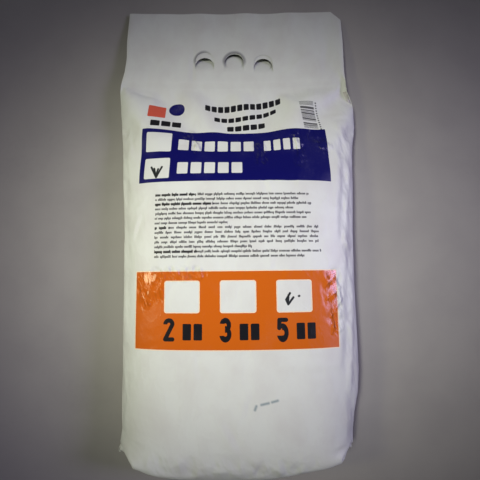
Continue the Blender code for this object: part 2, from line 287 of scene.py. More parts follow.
# %% [markdown]
# ## Letting the bag settle
# A time step moves every point by its forces, and then mends the threads a few times. The lower end of a
# filled bag is pushed inwards by a soft wall, because this bag stood on that end before it was laid down.
# The flap's sides are drawn in slightly as a weld is always a little shorter than the film it joins. The
# film's mean drift and turn are taken out, so that the bag stays straight under the camera.

# %% The settling
WALL_CURVE = 1.3
WALL_LEAN = -0.006
FLAP_SHRINK = 0.050  # a weld draws the film together by a few hundredths
FLAP_PRESS = 8000.0  # how hard the flap is smoothed down, for each metre that it is too high
FLAP_EDGE_HEIGHT = 0.003
FLAP_BEND = 1.3  # how late the flap bends down from its weld's height to its edge's
TIME_STEP = 1e-3
MENDINGS = 5  # of the threads in each time step
FOLD_STIFFNESS = 0.1  # of the film's own, where it was folded on the roll
KEPT_SPEED = 0.98  # share of its speed that a point keeps through a time step
FLOOR_GRIP = 0.1
LEFT_ROOM, RIGHT_ROOM = 0.0008, -0.0022  # how much further out than its limit the flap may go
CHAMBER_ROOM = 0.0015  # between the wall and the film above the fin


def settle(points, tube, steps, level, rate, stiffness, mass, wall, side_limit, flap_stiffness=5.0):
    """Runs the film for a number of steps. level is the powder's top, which moves by up to `rate` a step."""
    columns, rows = tube.columns, tube.rows
    step, time_step = F32(tube.step), F32(TIME_STEP)
    points = np.concatenate([points, points[:, :, :1]], 2).astype(F32)
    speed = np.zeros((3, rows, columns), F32)
    lengths = tube.gaps.astype(F32)[:, None]
    diagonals = np.sqrt(lengths**2 + step * step)
    rises = np.empty(rows, F32)
    rises[1:-1] = (tube.gaps[1:] + tube.gaps[:-1]) / 2
    rises[0], rises[-1] = tube.gaps[0], tube.gaps[-1]
    rises = rises[None, :, None]
    drawn = FLAP_SHRINK * np.clip((tube.along - CHAMBER_FILM + 0.02) / 0.04, 0, 1)
    widths = (step * (1 - drawn))[:, None].astype(F32)
    chamber = slice(tube.fin, tube.weld + 1)
    row_share = np.ones(tube.weld + 1 - tube.fin, F32)
    row_share[0] = row_share[-1] = 0.5
    cell = step * rises[0, chamber] * row_share[:, None]
    fold_share = np.ones(columns, F32)
    fold_share[0] = fold_share[tube.half] = FOLD_STIFFNESS
    out = np.clip((tube.along - CHAMBER_FILM) / FLAP_FILM, 0, 1)
    flap_height = (WELD_HEIGHT + (FLAP_EDGE_HEIGHT - WELD_HEIGHT) * out**FLAP_BEND)[:, None].astype(F32)
    weld = slice(tube.weld, tube.weld + tube.weld_rows + 1)
    flap = slice(weld.stop, rows)
    for count in range(steps):
        film = points[:, :, :columns]
        force = np.zeros((3, rows, columns), F32)
        force[2] -= FILM_WEIGHT
        force[2, tube.weld + 2 :] -= 2 * FILM_WEIGHT
        normal, own = outward_normals(points, chamber, step * rises[:, chamber], columns)
        volume = float(((normal * own).sum(0) * cell).sum() / 3)
        level += np.clip((POWDER_VOLUME - volume) / POWDER_VOLUME * rate * 20, -rate, rate)
        shoulder = F32(SHOULDER_SLOPE) * np.maximum(own[1] - F32(SHOULDER_START), 0)
        depth = np.maximum(level - LEVEL_SLOPE * own[1] - shoulder - own[2], 0)
        force[:, chamber] += normal * (POWDER_DENSITY * GRAVITY * depth)
        force += bending_force(film, stiffness, step, rises, fold_share, tube.weld, flap_stiffness)
        force[2, weld] -= F32(WELD_HOLD) * (film[2, weld] - F32(WELD_HEIGHT))
        force[2, flap] -= F32(FLAP_PRESS) * (film[2, flap] - flap_height[flap])
        force[2, : tube.fin] -= F32(FIN_HOLD) * (film[2, : tube.fin] - F32(FIN_HEIGHT))
        speed += force * F32(TIME_STEP / mass)
        speed *= F32(KEPT_SPEED)
        before = film.copy()
        film += speed * time_step
        wall_line = F32(wall(count)) + F32(WALL_CURVE) * film[0] ** 2 + F32(WALL_LEAN) * film[0]
        wall_line[tube.fin :] += F32(CHAMBER_ROOM)
        limit = side_limit(count)
        for _ in range(MENDINGS):
            hold_film(points, widths, lengths, diagonals, rows, columns)
            join_plies(points, tube)
            on_floor = film[2] < 0
            np.maximum(film[2], 0, out=film[2])
            np.clip(film[0], -limit - F32(LEFT_ROOM), limit + F32(RIGHT_ROOM), out=film[0])
            np.maximum(film[1], wall_line, out=film[1])
        film[:2] -= np.where(on_floor, F32(FLOOR_GRIP), F32(0)) * (film[:2] - before[:2])
        moved = film - before
        x, y = film[0] - film[0].mean(), film[1] - film[1].mean()
        turn = (x * moved[1] - y * moved[0]).sum() / (x * x + y * y).sum()
        film[0] += turn * y - moved[0].mean()
        film[1] -= turn * x
        points[:, :, columns] = points[:, :, 0]
        speed = (film - before) / time_step
    print("settled", tube.half, "volume", round(volume * 1e3, 3), "litres, level", round(float(level), 4))
    return points[:, :, :columns].copy(), level


def refine(points, old, new):
    """Carries a settled film over to a finer grid, with a cubic through four neighbours each way."""

    def cubic(values, position, axis, count, closed):
        index = np.floor(position).astype(int)
        if not closed:
            index = np.clip(index, 0, count - 2)
        w = (position - index).astype(F32)
        w = w[None, None, :] if axis == 2 else w[None, :, None]
        near = []
        for offset in (-1, 0, 1, 2):
            at = (index + offset) % count if closed else np.clip(index + offset, 0, count - 1)
            near.append(np.take(values, at, axis=axis))
        a, b, c, d = near
        square, cube = 2 * a - 5 * b + 4 * c - d, 3 * b - a - 3 * c + d
        return 0.5 * (2 * b + (c - a) * w + square * w**2 + cube * w**3)

    wide = cubic(points, np.arange(new.columns) * old.columns / new.columns, 2, old.columns, True)
    place = np.interp(new.along, old.along, np.arange(old.rows))
    return cubic(wide, place, 1, old.rows, False).astype(F32)


# %% [markdown]
# Three grids, from coarse to fine: the coarse one finds the bag's form in a few seconds, and the finer
# ones only add the smaller wrinkles. A little seeded noise decides which way the first folds go, the same
# in every run.

# %% Settle the film
noise = np.random.default_rng(7)
FREE = 0.2  # a side limit that never acts
FLAP_HALF = 0.1208
WALL_OUT = -CHAMBER_FILM / 2 - FIN_FILM - 0.004
WALL_IN = -CHAMBER_FILM / 2 + 0.018
WALL_STARTS = 200  # the time step at which the wall starts to move in
CLOSED_BY = 1200  # the time step at which wall and side limits have reached their place


def flap_limit(tube):
    """Half the width that the flap may take up, drawn in above the weld; the chamber is left free."""
    drawn = FLAP_HALF - 0.0008 * np.clip((tube.along - CHAMBER_FILM) / 0.03, 0, 1)
    return np.where(tube.along < CHAMBER_FILM - 0.010, FREE, drawn)[:, None].astype(F32)


def closing_wall(count):
    share = min(1, max(0, (count - WALL_STARTS) / (CLOSED_BY - WALL_STARTS)))
    return WALL_OUT + (WALL_IN - WALL_OUT) * share


def closing_limit(count):
    start = F32(FILM_WIDTH / 2 + 0.0005)
    closed = start + (coarse_limit - start) * F32(min(1, count / CLOSED_BY))
    return np.where(coarse_limit > 0.15, F32(FREE), closed)


coarse_limit, middle_limit, fine_limit = (flap_limit(tube) for tube in (coarse, middle, fine))
film = flat_tube(coarse)
film[2, 1:-1] += np.abs(noise.normal(0, 2e-4, film[2, 1:-1].shape)).astype(F32)
film, level = settle(film, coarse, 2400, 0.0, 6e-5, 9e-5, 12, closing_wall, closing_limit)
film = refine(film, coarse, middle) + noise.normal(0, 1e-4, (3, middle.rows, middle.columns)).astype(F32)
film, level = settle(film, middle, 800, level, 2e-5, 4e-5, 25, lambda n: WALL_IN, lambda n: middle_limit)
film = refine(film, middle, fine) + noise.normal(0, 3e-5, (3, fine.rows, fine.columns)).astype(F32)
film, level = settle(film, fine, 240, level, 2e-5, 8e-6, 25, lambda n: WALL_IN, lambda n: fine_limit, 2.0)
print("film size", (film.reshape(3, -1).max(1) - film.reshape(3, -1).min(1)).round(4))

# %% [markdown]
# ## From film to solid skin
# The settled film has no thickness yet. Its outer skin stands 0.15 mm outside it, and in the flap an
# inner lining lies on it, so the flap's two plies are real plies with a mouth between them. The bag is
# then put where the solids are: centred on the origin and standing on the floor.

# %% Place the film and its outer skin
film = film.astype(float)
low, high = film.reshape(3, -1).min(1), film.reshape(3, -1).max(1)
film -= np.array([(low[0] + high[0]) / 2, (low[1] + high[1]) / 2, low[2] - FILM_THICKNESS])[:, None, None]


def skin_normals(surface):
    """Unit outward normals: the step round the tube crossed with the one along it, sideways at a fold."""
    around = np.roll(surface, -1, 2) - np.roll(surface, 1, 2)
    along = np.gradient(surface, axis=1)
    normal = np.cross(along, around, axis=0)
    length = np.sqrt((normal**2).sum(0))
    sideways = surface - (np.roll(surface, -1, 2) + np.roll(surface, 1, 2)) / 2
    reach = np.sqrt((sideways**2).sum(0))
    return np.where(length < 1e-9, sideways / np.maximum(reach, 1e-12), normal / np.maximum(length, 1e-12))


# %% [markdown]
# ## What hands did to the outline
# The settled bag is the same on both sides, and the real one isn't. Somebody pushed its right lower ear
# in, bent its lower corners up, and pulled its neck narrower. The sculptor's grab brush would do this by
# eye. Two short tables do it by number: how far each side stands in or out along the film, and how far
# the lower end is bent back across it. Both fade away before they reach the print.

# %% Shifts of the outline, in millimetres
SIDE_SHIFTS = (  # along the film, left side to the right, right side to the right
    (-8, 0, -1), (2, 3.4, -8), (12, 6.4, -14), (22, 2.9, -11), (32, -2, -6), (45, -1.5, -5.5),
    (60, 0.9, -4), (75, 0.6, -2.5), (95, 0.4, 2), (115, 0.8, 3.5), (150, 0.4, 3), (200, 0.6, 1.8),
    (250, 0.5, 2), (300, -1.4, 3.7), (345, -2.2, 3.8), (362, -2.2, 4.8), (378, -2.4, 2.2), (395, -0.9, -1.7),
    (406, -0.2, -4), (425, 2.7, -4), (445, 2.8, -2.7), (465, 1.3, -2), (502, 0.8, -1.8),
)
END_SHIFTS = (  # across the bag, lower end up
    (-127, 0), (-121, 1), (-115, 8), (-106, 9.5), (-97, 5), (-82, 2), (-60, 0), (20, 0), (42, 2), (62, 5),
    (84, 8), (98, 10), (112, 12), (124, 6),
)
END_REACH = 0.070
EDGE_POWER = 6
TOP_STRAIGHTENING = 0.65  # share of the cut edge's wave that is taken out
STRAIGHT_FROM = 440


def nudged(film):
    """Sides move by their share of the half width to a high power, the lower end by a smooth step along."""
    v, left, right = np.array(SIDE_SHIFTS, float).T
    along = fine.along * 1000
    x = film[0] * 1000
    half = np.abs(x).max(1, keepdims=True)
    left, right = np.interp(along, v, left)[:, None], np.interp(along, v, right)[:, None]
    aside = np.where(x > 0, right, left) * np.abs(x / half) ** EDGE_POWER
    place, rise = np.array(END_SHIFTS, float).T
    near = np.clip(1 - (film[1] - film[1].min()) / END_REACH, 0, 1)
    near = near * near * (3 - 2 * near)
    straight = np.clip((along - STRAIGHT_FROM) / 60, 0, 1)[:, None]
    result = film.copy()
    result[0] += aside / 1000
    result[1] += np.interp(x, place, rise) / 1000 * near
    wave = film[1, -1] - np.median(film[1, -1])
    result[1] -= TOP_STRAIGHTENING * wave * straight
    print("sides moved up to", np.abs(aside).max().round(1), "mm")
    return result


film = nudged(film)

# %% [markdown]
# The flap settled into waves, and its right edge curled up. On the real bag it was pressed flat when bags
# lay on bags. So each row of the flap gets a parabola fitted across it, and its heights are drawn most of
# the way towards that. A column and the one that faces it move together, which keeps the two plies apart.

# %% Press the flap flat
FLAP_PRESSED = 0.78


def pressed_flap(film):
    """Heights of the flap moved towards the parabola that fits their row best, from the weld upwards."""
    columns = np.arange(fine.columns)
    from_left = np.abs(columns - fine.half) * fine.step
    mean = (film[2] + film[2][:, -columns % fine.columns]) / 2
    powers = np.vander(from_left, 3)
    level = (powers @ np.polyfit(from_left, mean.T, 2)).T
    share = FLAP_PRESSED * np.clip((fine.along - CHAMBER_FILM + 0.006) / 0.017, 0, 1)
    result = film.copy()
    result[2] -= share[:, None] * (mean - level)
    highest = np.abs(mean - level)[fine.weld + 8 :].max() * 1000
    print("flap waves up to", highest.round(1), "mm before pressing")
    return result


film = pressed_flap(film)

# %% [markdown]
# ## Creases from handling
# A filled bag is gripped, stacked and turned over, and each time its film keeps a few creases. They are
# too small and too chancy to settle by themselves, so they are laid on the flat pattern one by one, where
# the real bag has them, with seeded short ones between. A ridge is a bell curve across its line, and a
# pleat is the slope of one, so that one side stands up and the other lies low. The flap's creases move
# both plies together.

# %% Creases, in millimetres on the film: start, end, height and width
RIDGES = (
    (-88.0, 208.5, -84.5, 195.0, 0.55, 1.9),
    (-81.5, 205.0, -77.5, 186.5, 0.60, 2.0),
    (-72.5, 209.5, -78.5, 196.0, 0.50, 1.9),
    (-84.5, 197.0, -80.0, 180.5, 0.55, 2.0),
    (-90.5, 192.0, -84.5, 181.0, 0.45, 1.8),
    (-68.5, 187.5, -73.5, 203.0, 0.40, 1.8),
    (90.5, 208.0, 79.0, 195.5, 0.60, 2.4),
    (95.0, 195.0, 80.5, 184.0, 0.55, 2.2),
    (96.0, 184.5, 84.0, 168.0, 0.55, 2.4),
    (89.0, 171.5, 84.5, 153.0, 0.45, 2.2),
    (20.5, 340.0, 24.5, 316.0, 0.55, 2.2),
    (58.0, 347.0, 62.0, 316.0, 0.70, 2.6),
    (74.5, 346.0, 80.0, 333.5, 0.50, 1.8),
    (79.0, 334.5, 88.0, 331.0, 0.50, 1.8),
    (87.5, 331.0, 87.0, 345.0, 0.50, 1.8),
    (-47.5, 352.0, -39.5, 330.0, 0.50, 2.2),
    (-119.0, 405.0, -74.0, 392.5, -0.90, 2.6),
    (98.0, 366.0, 124.0, 368.0, -0.60, 2.0),
    (-62.0, 137.0, 60.0, 133.5, -0.45, 4.5),
    (22.0, 129.0, 96.0, 124.0, 0.35, 4.0),
    (99.0, 242.0, 114.0, 231.0, 0.70, 2.6),
    (103.0, 349.0, 120.0, 336.0, 0.80, 3.0),
    (101.0, 236.0, 109.0, 221.0, -0.50, 2.4),
)
SHARP_CREASES = RIDGES[:16]
CRUMPLED = (  # lines that small facets gather along
    ((-90.0, 204.0), (-84.0, 184.0)),
    ((-76.0, 208.0), (-72.0, 190.0)),
    ((-70.0, 208.5), (-34.0, 209.0)),
    ((88.0, 205.0), (92.0, 160.0)),
    ((22.0, 338.0), (24.0, 318.0)),
    ((60.0, 345.0), (62.0, 318.0)),
    ((-46.0, 350.0), (-40.0, 332.0)),
    ((76.0, 346.0), (88.0, 333.0)),
)
DENTED = (  # lines that wider dents gather along
    ((86.0, 204.0), (90.0, 172.0)),
    ((108.0, 350.0), (110.0, 60.0)),
    ((-116.0, 350.0), (-114.0, 60.0)),
    ((-70.0, 40.0), (60.0, 34.0)),
)
PLEATS = (
    (104.0, 352.0, 96.5, 236.0, 0.90, 3.6),
    (116.0, 330.0, 104.5, 212.0, 0.80, 3.4),
    (105.0, 226.0, 93.5, 118.0, 0.85, 3.8),
    (117.0, 205.0, 104.0, 96.0, 0.70, 3.6),
    (-119.0, 345.0, -111.0, 262.0, 0.70, 3.4),
    (-116.0, 250.0, -106.0, 150.0, 0.55, 3.6),
)
FLAP_RIDGES = (
    (-47.0, 402.0, -48.5, 462.0, -0.9, 2.4),
    (-92.0, 418.0, -60.0, 470.0, 0.5, 5.0),
    (54.0, 422.0, 84.0, 452.0, 0.6, 5.0),
    (96.0, 412.0, 108.0, 470.0, -0.5, 4.0),
    (0.0, 478.0, 70.0, 486.0, 0.5, 5.0),
)
SMALL_CREASES = 110


def crease_height(u, v, crease, pleat=False):
    """Height over the line from start to end: a bell across it, or the bell's slope, gone at both ends."""
    start_u, start_v, end_u, end_v, height, width = crease
    along_u, along_v = end_u - start_u, end_v - start_v
    length = math.hypot(along_u, along_v)
    share = ((u - start_u) * along_u + (v - start_v) * along_v) / length**2
    side = ((u - start_u) * along_v - (v - start_v) * along_u) / length / width
    across_line = side * np.exp(0.5 - side**2 / 2) if pleat else np.exp(-(side**2))
    return height / 1000 * across_line * np.sin(math.pi * np.clip(share, 0, 1)) ** 0.7


def creased(film):
    """The film with its creases: the chamber's along the normal, the flap's straight up or down."""
    column = np.arange(fine.columns)
    u = (FILM_WIDTH / 2 - column * fine.step)[None, :] * 1000
    v = fine.along[:, None] * 1000
    chance = np.random.default_rng(23)
    height = np.zeros((fine.rows, fine.columns))
    for crease in RIDGES:
        height += crease_height(u, v, crease)
    for crease in PLEATS:
        height += crease_height(u, v, crease, pleat=True)
    for _ in range(SMALL_CREASES):
        middle_u, middle_v = chance.uniform(-360, 110), chance.uniform(12, 395)
        way, half = chance.normal(math.pi / 2, 0.7), chance.uniform(5, 16)
        off_u, off_v = half * math.cos(way), half * math.sin(way)
        ends = (middle_u - off_u, middle_v - off_v, middle_u + off_u, middle_v + off_v)
        height += crease_height(u, v, (*ends, chance.normal(0, 0.27), chance.uniform(1.8, 3.2)), pleat=True)
    height *= np.clip((v - 4) / 8, 0, 1) * np.clip((CHAMBER_FILM * 1000 - 2 - v) / 8, 0, 1)
    result = film + height * skin_normals(film)
    lift = np.zeros((fine.rows, fine.columns))
    facing = np.where(u < -125, -250 - u, u)
    for crease in FLAP_RIDGES:
        lift += crease_height(facing, v, crease)
    result[2] += lift * np.clip((v - CHAMBER_FILM * 1000 - 5) / 8, 0, 1)
    result[2] = np.maximum(result[2], FILM_THICKNESS)
    print("creases up to", (np.abs(height).max() * 1000).round(2), "mm")
    return result


film = creased(film)
skin = film + FILM_THICKNESS * skin_normals(film)
print("skin box", skin.reshape(3, -1).min(1).round(4), skin.reshape(3, -1).max(1).round(4))

# %% [markdown]
# ## Cutting the flap
# The punch is a horseshoe: it cuts three sides of each finger hole and leaves a tongue hanging from the
# fourth. A boolean would need a solid for every tongue. It is simpler to cut the film while it is a flat
# pattern: the outline is laid among the grid points, Delaunay triangles fill the block around it, and the
# triangles inside the outline become the tongue. The back ply's holes sit a little nearer the weld than
# the front ply's, because the flap was bent when it was carried. The top right corner is cut off aslant.

# %% The punch and the blocks that it cuts
HOLE_HALF_WIDTH = 0.0105
HOLE_LENGTH = 0.0225
HOLE_PLACES = ((-0.0345, 0.0205), (-0.0018, 0.0195), (0.0305, 0.0170))  # across the film, and above the weld
BACK_SHIFTS = (-0.0065, -0.0008, -0.0045)
CORNER_CUT = 0.0115
KEEP_AWAY = 0.4  # of a column: grid points nearer to the cut than this are left out
TOO_THIN = 1e-13  # twice the area of a triangle that is dropped
weld_row = fine.weld + fine.weld_rows


def horseshoe(centre, foot):
    """The arch of a punch: up one leg, round half a circle, down the other. Points are (across, along)."""
    radius, straight = HOLE_HALF_WIDTH, HOLE_LENGTH - HOLE_HALF_WIDTH
    turn = np.linspace(0, math.pi, 23)
    leg = np.linspace(0, straight, 9)[:-1]
    right = np.stack([np.full(8, centre + radius), foot + leg], 1)
    arc = np.stack([centre + radius * np.cos(turn), foot + straight + radius * np.sin(turn)], 1)
    left = np.stack([np.full(8, centre - radius), (foot + leg)[::-1]], 1)
    return np.concatenate([right, arc, left])


def inside(outline, points):
    """Whether each point is inside a closed outline: a ray to the right crosses an odd number of edges."""
    a, b = outline, np.roll(outline, -1, 0)
    x, y = points[:, 0, None], points[:, 1, None]
    crosses = (a[:, 1] > y) != (b[:, 1] > y)
    rise = np.where(b[:, 1] == a[:, 1], 1, b[:, 1] - a[:, 1])
    at = a[:, 0] + (y - a[:, 1]) * (b[:, 0] - a[:, 0]) / rise
    return (crosses & (x < at)).sum(1) % 2 == 1


def across(column):
    """Distance across the front of the flat film, from its middle to the right, for a column."""
    return FILM_WIDTH / 2 - np.asarray(column) * fine.step


def cut_block(columns, rows, outline):
    """Delaunay triangles over a block of cells, with the outline's edges among them, in flat coordinates."""
    c, r = np.meshgrid(np.arange(columns[0], columns[1] + 1), np.arange(rows[0], rows[1] + 1))
    grid = np.stack([across(c.ravel()), fine.along[r.ravel()]], 1)
    rim = np.isin(c.ravel(), columns) | np.isin(r.ravel(), rows)
    near = np.sqrt(((grid[:, None] - outline[None]) ** 2).sum(2)).min(1) < KEEP_AWAY * fine.step
    grid = grid[rim | ~near]
    points = np.concatenate([outline, grid])
    edges = [(i, i + 1) for i in range(len(outline) - 1)]
    vertices, _, faces, _, _, _ = geometry.delaunay_2d_cdt([Vector(p) for p in points], edges, [], 0, 1e-7)
    vertices = np.array([tuple(v) for v in vertices])
    faces = np.array([f for f in faces if len(f) == 3])
    a, b, c = (vertices[faces[:, i]] for i in range(3))
    area = (b[:, 0] - a[:, 0]) * (c[:, 1] - a[:, 1]) - (b[:, 1] - a[:, 1]) * (c[:, 0] - a[:, 0])
    wide = np.abs(area) > TOO_THIN
    faces, area = faces[wide], area[wide]
    faces[area < 0] = faces[area < 0][:, ::-1]
    return vertices, faces


sample = horseshoe(0, 0)
print("punch outline", len(sample), "points,", (sample.max(0) - sample.min(0)).round(4))

# %% [markdown]
# Every corner of every face is first written down as an address: which layer, which tongue, which column
# round the tube and which row. Equal addresses are one vertex, so plies, tongues, rims and side folds
# join by themselves, and no search for near points is needed. The column of an address may pass once
# round the tube; the UV map uses it as it is, and the vertex uses it modulo the tube.

# %% Addresses of the uncut film
OUTER, LINING = 0, 1
addresses = []


def add_faces(layer, tongue, column, row):
    """Adds triangles given by the columns and rows of their corners, two arrays with three numbers a face."""
    column, row = np.asarray(column, float), np.asarray(row, float)
    tongue = np.broadcast_to(np.asarray(tongue, float), column.shape)
    layer = np.broadcast_to(np.asarray(layer, float), column.shape)
    addresses.append(np.stack([layer, tongue, column, row], 2))


def add_cells(layer, columns, rows):
    """Two triangles for each grid cell, turned outwards on the outer skin and inwards on the lining."""
    first = np.stack([columns, columns, columns + 1], 1), np.stack([rows, rows + 1, rows + 1], 1)
    second = np.stack([columns, columns + 1, columns + 1], 1), np.stack([rows, rows + 1, rows], 1)
    for column, row in (first, second):
        way = 1 if layer == OUTER else -1
        add_faces(layer, 0, column[:, ::way], row[:, ::way])


def row_of(along):
    return np.interp(along, fine.along, np.arange(fine.rows))


def column_of(u, ply):
    """Column round the tube for a place across the flat film, on the front ply (0) or on the back ply (1)."""
    column = (FILM_WIDTH / 2 - u) / fine.step
    return fine.columns - column if ply else column


blocks = []
for number, (centre, above) in enumerate(HOLE_PLACES, 1):
    left = int((FILM_WIDTH / 2 - centre - HOLE_HALF_WIDTH) / fine.step) - 1
    right = int((FILM_WIDTH / 2 - centre + HOLE_HALF_WIDTH) / fine.step) + 2
    for ply in (0, 1):
        foot = CHAMBER_FILM + above + ply * BACK_SHIFTS[number - 1]
        rows = int(row_of(foot)) - 1, int(row_of(foot + HOLE_LENGTH)) + 2
        blocks.append((ply, (left, right), rows, horseshoe(centre, foot), 2 * number + ply))
FILM_TOP = CHAMBER_FILM + FLAP_FILM
corner_line = np.linspace((FILM_WIDTH / 2, FILM_TOP - CORNER_CUT), (FILM_WIDTH / 2 - CORNER_CUT, FILM_TOP), 9)
corner_rows = int(row_of(FILM_TOP - CORNER_CUT)) - 1, fine.rows - 1
for ply in (0, 1):
    blocks.append((ply, (0, int(CORNER_CUT / fine.step) + 2), corner_rows, corner_line, 0))

uncut = np.ones((fine.rows - 1, fine.columns), bool)
for ply, columns, rows, *_ in blocks:
    span = (fine.columns - columns[1], fine.columns - columns[0]) if ply else columns
    uncut[rows[0] : rows[1], span[0] : span[1]] = False
row, column = np.nonzero(uncut)
add_cells(OUTER, column, row)
add_cells(LINING, column[row >= weld_row], row[row >= weld_row])
print("uncut cells", len(row), "and", len(blocks), "cut blocks")

# %% Addresses of the cut blocks and their tongues
for ply, columns, rows, outline, tongue in blocks:
    vertices, faces = cut_block(columns, rows, outline)
    centres = vertices[faces].mean(1)
    column, row = column_of(vertices[:, 0], ply), row_of(vertices[:, 1])
    if tongue:
        loose = inside(outline, centres)
    else:
        faces = faces[centres.sum(1) < FILM_WIDTH / 2 + FILM_TOP - CORNER_CUT]
        loose = np.zeros(len(faces), bool)
    mark = np.where(vertices[:, 1] < outline[0, 1] + 1e-6, 0, tongue)
    for layer in (OUTER, LINING):
        way = 1 if layer == ply else -1
        held, hanging = faces[~loose][:, ::way], faces[loose][:, ::way]
        add_faces(layer, 0, column[held], row[held])
        add_faces(layer, mark[hanging], column[hanging], row[hanging])
print("faces of both layers", sum(len(a) for a in addresses))

# %% [markdown]
# What is left open is the film's own thickness: the rims of the mouth, of the holes and tongues, and the
# end of the fin. An edge of the outer skin that only one face uses is such a rim, and each gets two thin
# triangles that reach over to the lining.

# %% Walls along every rim, and one closed set of faces
def vertex_keys(corners):
    """One whole number for each address. The lining's plies are one ply at the weld."""
    layer, tongue, column, row = (corners[..., i] for i in range(4))
    column = column % fine.columns
    welded = (layer == LINING) & (row < weld_row + 1e-6)
    column = np.where(welded, np.minimum(column, fine.columns - column), column)
    column = np.round(column * 1e4).astype(np.int64)
    row = np.round(row * 1e4).astype(np.int64)
    return ((layer * 8 + tongue).astype(np.int64) << 46) + (column << 23) + row


half = np.arange(fine.half)
level_row = np.zeros((fine.half, 3))
add_faces(OUTER, 0, np.stack([half, half + 1, fine.columns - half - 1], 1), level_row)
add_faces(OUTER, 0, np.stack([half, fine.columns - half - 1, fine.columns - half], 1)[1:], level_row[1:])
faces = np.concatenate(addresses)
outer = faces[faces[:, 0, 0] == OUTER]
start = outer.reshape(-1, 4)
end = np.roll(outer, -1, 1).reshape(-1, 4)
start_key, end_key = vertex_keys(start), vertex_keys(end)
numbers = np.unique(start_key, return_inverse=True)[1]
ends = np.unique(end_key, return_inverse=True)[1]
count = numbers.max() + 1
rims = ~np.isin(numbers * count + ends, ends * count + numbers)
start, end = start[rims], end[rims]
start_in, end_in = start.copy(), end.copy()
start_in[:, 0] = end_in[:, 0] = LINING
walls = [np.stack([end, start, start_in], 1), np.stack([end, start_in, end_in], 1)]
faces = np.concatenate([faces, *walls])
print("rim edges", int(rims.sum()), "faces", len(faces))

# %% [markdown]
# ## Hanging tongues
# A tongue bends down from its hinge within a few millimetres and then goes on nearly straight, because
# the fold there is soft and the film beyond it is flat. Its path is the running sum of the cosine and
# sine of its slope. The lowest ones come to rest on the floor.

# %% Where every address lies in space
TONGUE_FALL = {2: 22, 3: 34, 4: 12, 5: 26, 6: 20, 7: 30}  # degrees
TONGUE_BEND = 0.0030
TONGUE_REST = (0.0012, 0.0004)  # how high the front and back plies' tongues come to rest
FLOOR_SOFT = 0.0004


def on_grid(values, column, row):
    """Values of a grid between its points, linear each way. Columns pass round the tube."""
    c, r = np.floor(column + 1e-9).astype(int), np.clip(np.floor(row + 1e-9).astype(int), 0, fine.rows - 2)
    fc, fr = column - c, row - r
    c0, c1 = c % fine.columns, (c + 1) % fine.columns
    lower = values[:, r, c0] * (1 - fc) + values[:, r, c1] * fc
    upper = values[:, r + 1, c0] * (1 - fc) + values[:, r + 1, c1] * fc
    return lower * (1 - fr) + upper * fr


def tongue_place(tongue, layer, column, row):
    """Places on a hanging tongue: from the hinge along the ply by the path's run, and down by its drop."""
    ply = tongue % 2
    foot = next(block[3][0, 1] for block in blocks if block[4] == tongue)
    hinge = on_grid(film, column, np.full_like(row, row_of(foot)))
    ahead = on_grid(film, column, np.full_like(row, row_of(foot + 0.004)))
    forward = (ahead - hinge) / np.linalg.norm(ahead - hinge, axis=0)
    sideways = np.array([1.0, 0, 0])[:, None]
    up = np.cross(sideways, forward, axis=0)
    up /= np.linalg.norm(up, axis=0)
    way = np.linspace(0, 0.03, 601)
    slope = math.radians(TONGUE_FALL[tongue]) * (1 - np.exp(-way / TONGUE_BEND))
    run = np.cumsum(np.cos(slope)) * (way[1] - way[0])
    drop = np.cumsum(np.sin(slope)) * (way[1] - way[0])
    along = np.interp(row, np.arange(fine.rows), fine.along) - foot
    at = np.interp(along, way, slope)
    place = hinge + forward * np.interp(along, way, run) - up * np.interp(along, way, drop)
    rest = TONGUE_REST[ply]
    place[2] = rest + FLOOR_SOFT * np.logaddexp(0, (place[2] - rest) / FLOOR_SOFT)
    outward = (up * np.cos(at) + forward * np.sin(at)) * (1 - 2 * ply)
    return place + outward * FILM_THICKNESS * (1 - layer)


corner = faces.reshape(-1, 4)
_, first_corner, vertex_of_corner = np.unique(vertex_keys(corner), return_index=True, return_inverse=True)
layer, tongue, column, row = corner[first_corner].T
places = np.where(layer == OUTER, on_grid(skin, column, row), on_grid(film, column, row))
for mark in sorted(TONGUE_FALL):
    own = tongue == mark
    places[:, own] = tongue_place(mark, layer[own], column[own], row[own])
print("vertices", places.shape[1], "lowest", places[2].min().round(5))

# %% [markdown]
# ## The bag as a mesh, and its flat pattern as a UV map
# The print was put on the film while it was flat, so its UV map is simply the flat film in metres: U runs
# across the front from -0.125 to 0.125 and goes on round to the back, V runs from the lower weld to the
# cut top. Every printed shape can then be written in real millimetres, and it bends and wrinkles with the
# film.

# %% Build the bag
def mesh_object(name, places, triangles):
    """An object whose mesh has these vertices (3 x n) and triangles (m x 3), shaded smooth."""
    mesh = bpy.data.meshes.new(name)
    mesh.vertices.add(places.shape[1])
    mesh.vertices.foreach_set("co", places.T.astype(np.float32).ravel())
    mesh.loops.add(triangles.size)
    mesh.loops.foreach_set("vertex_index", triangles.astype(np.int32).ravel())
    mesh.polygons.add(len(triangles))
    mesh.polygons.foreach_set("loop_start", np.arange(0, triangles.size, 3, dtype=np.int32))
    mesh.polygons.foreach_set("use_smooth", np.ones(len(triangles), bool))
    mesh.update()
    mesh.validate()
    return new_object(name, mesh)


bag = mesh_object("printed_bag", places, vertex_of_corner.reshape(-1, 3))
flat_u = FILM_WIDTH / 2 - corner[:, 2] * fine.step
flat_v = np.interp(corner[:, 3], np.arange(fine.rows), fine.along) + corner[:, 0]
uv = bag.data.uv_layers.new(name="film")
uv.data.foreach_set("uv", np.stack([flat_u, flat_v], 1).astype(np.float32).ravel())
bag.data.set_sharp_from_angle(angle=math.radians(60))
bag.data.update()
print("bag", len(bag.data.vertices), "vertices", len(bag.data.polygons), "triangles")

# %% [markdown]
# ## The powder
# Nobody sees the powder, but a cut through the part should find it. It is the chamber's film again, drawn
# in by 0.7 mm, closed at both ends, on a grid half as fine.

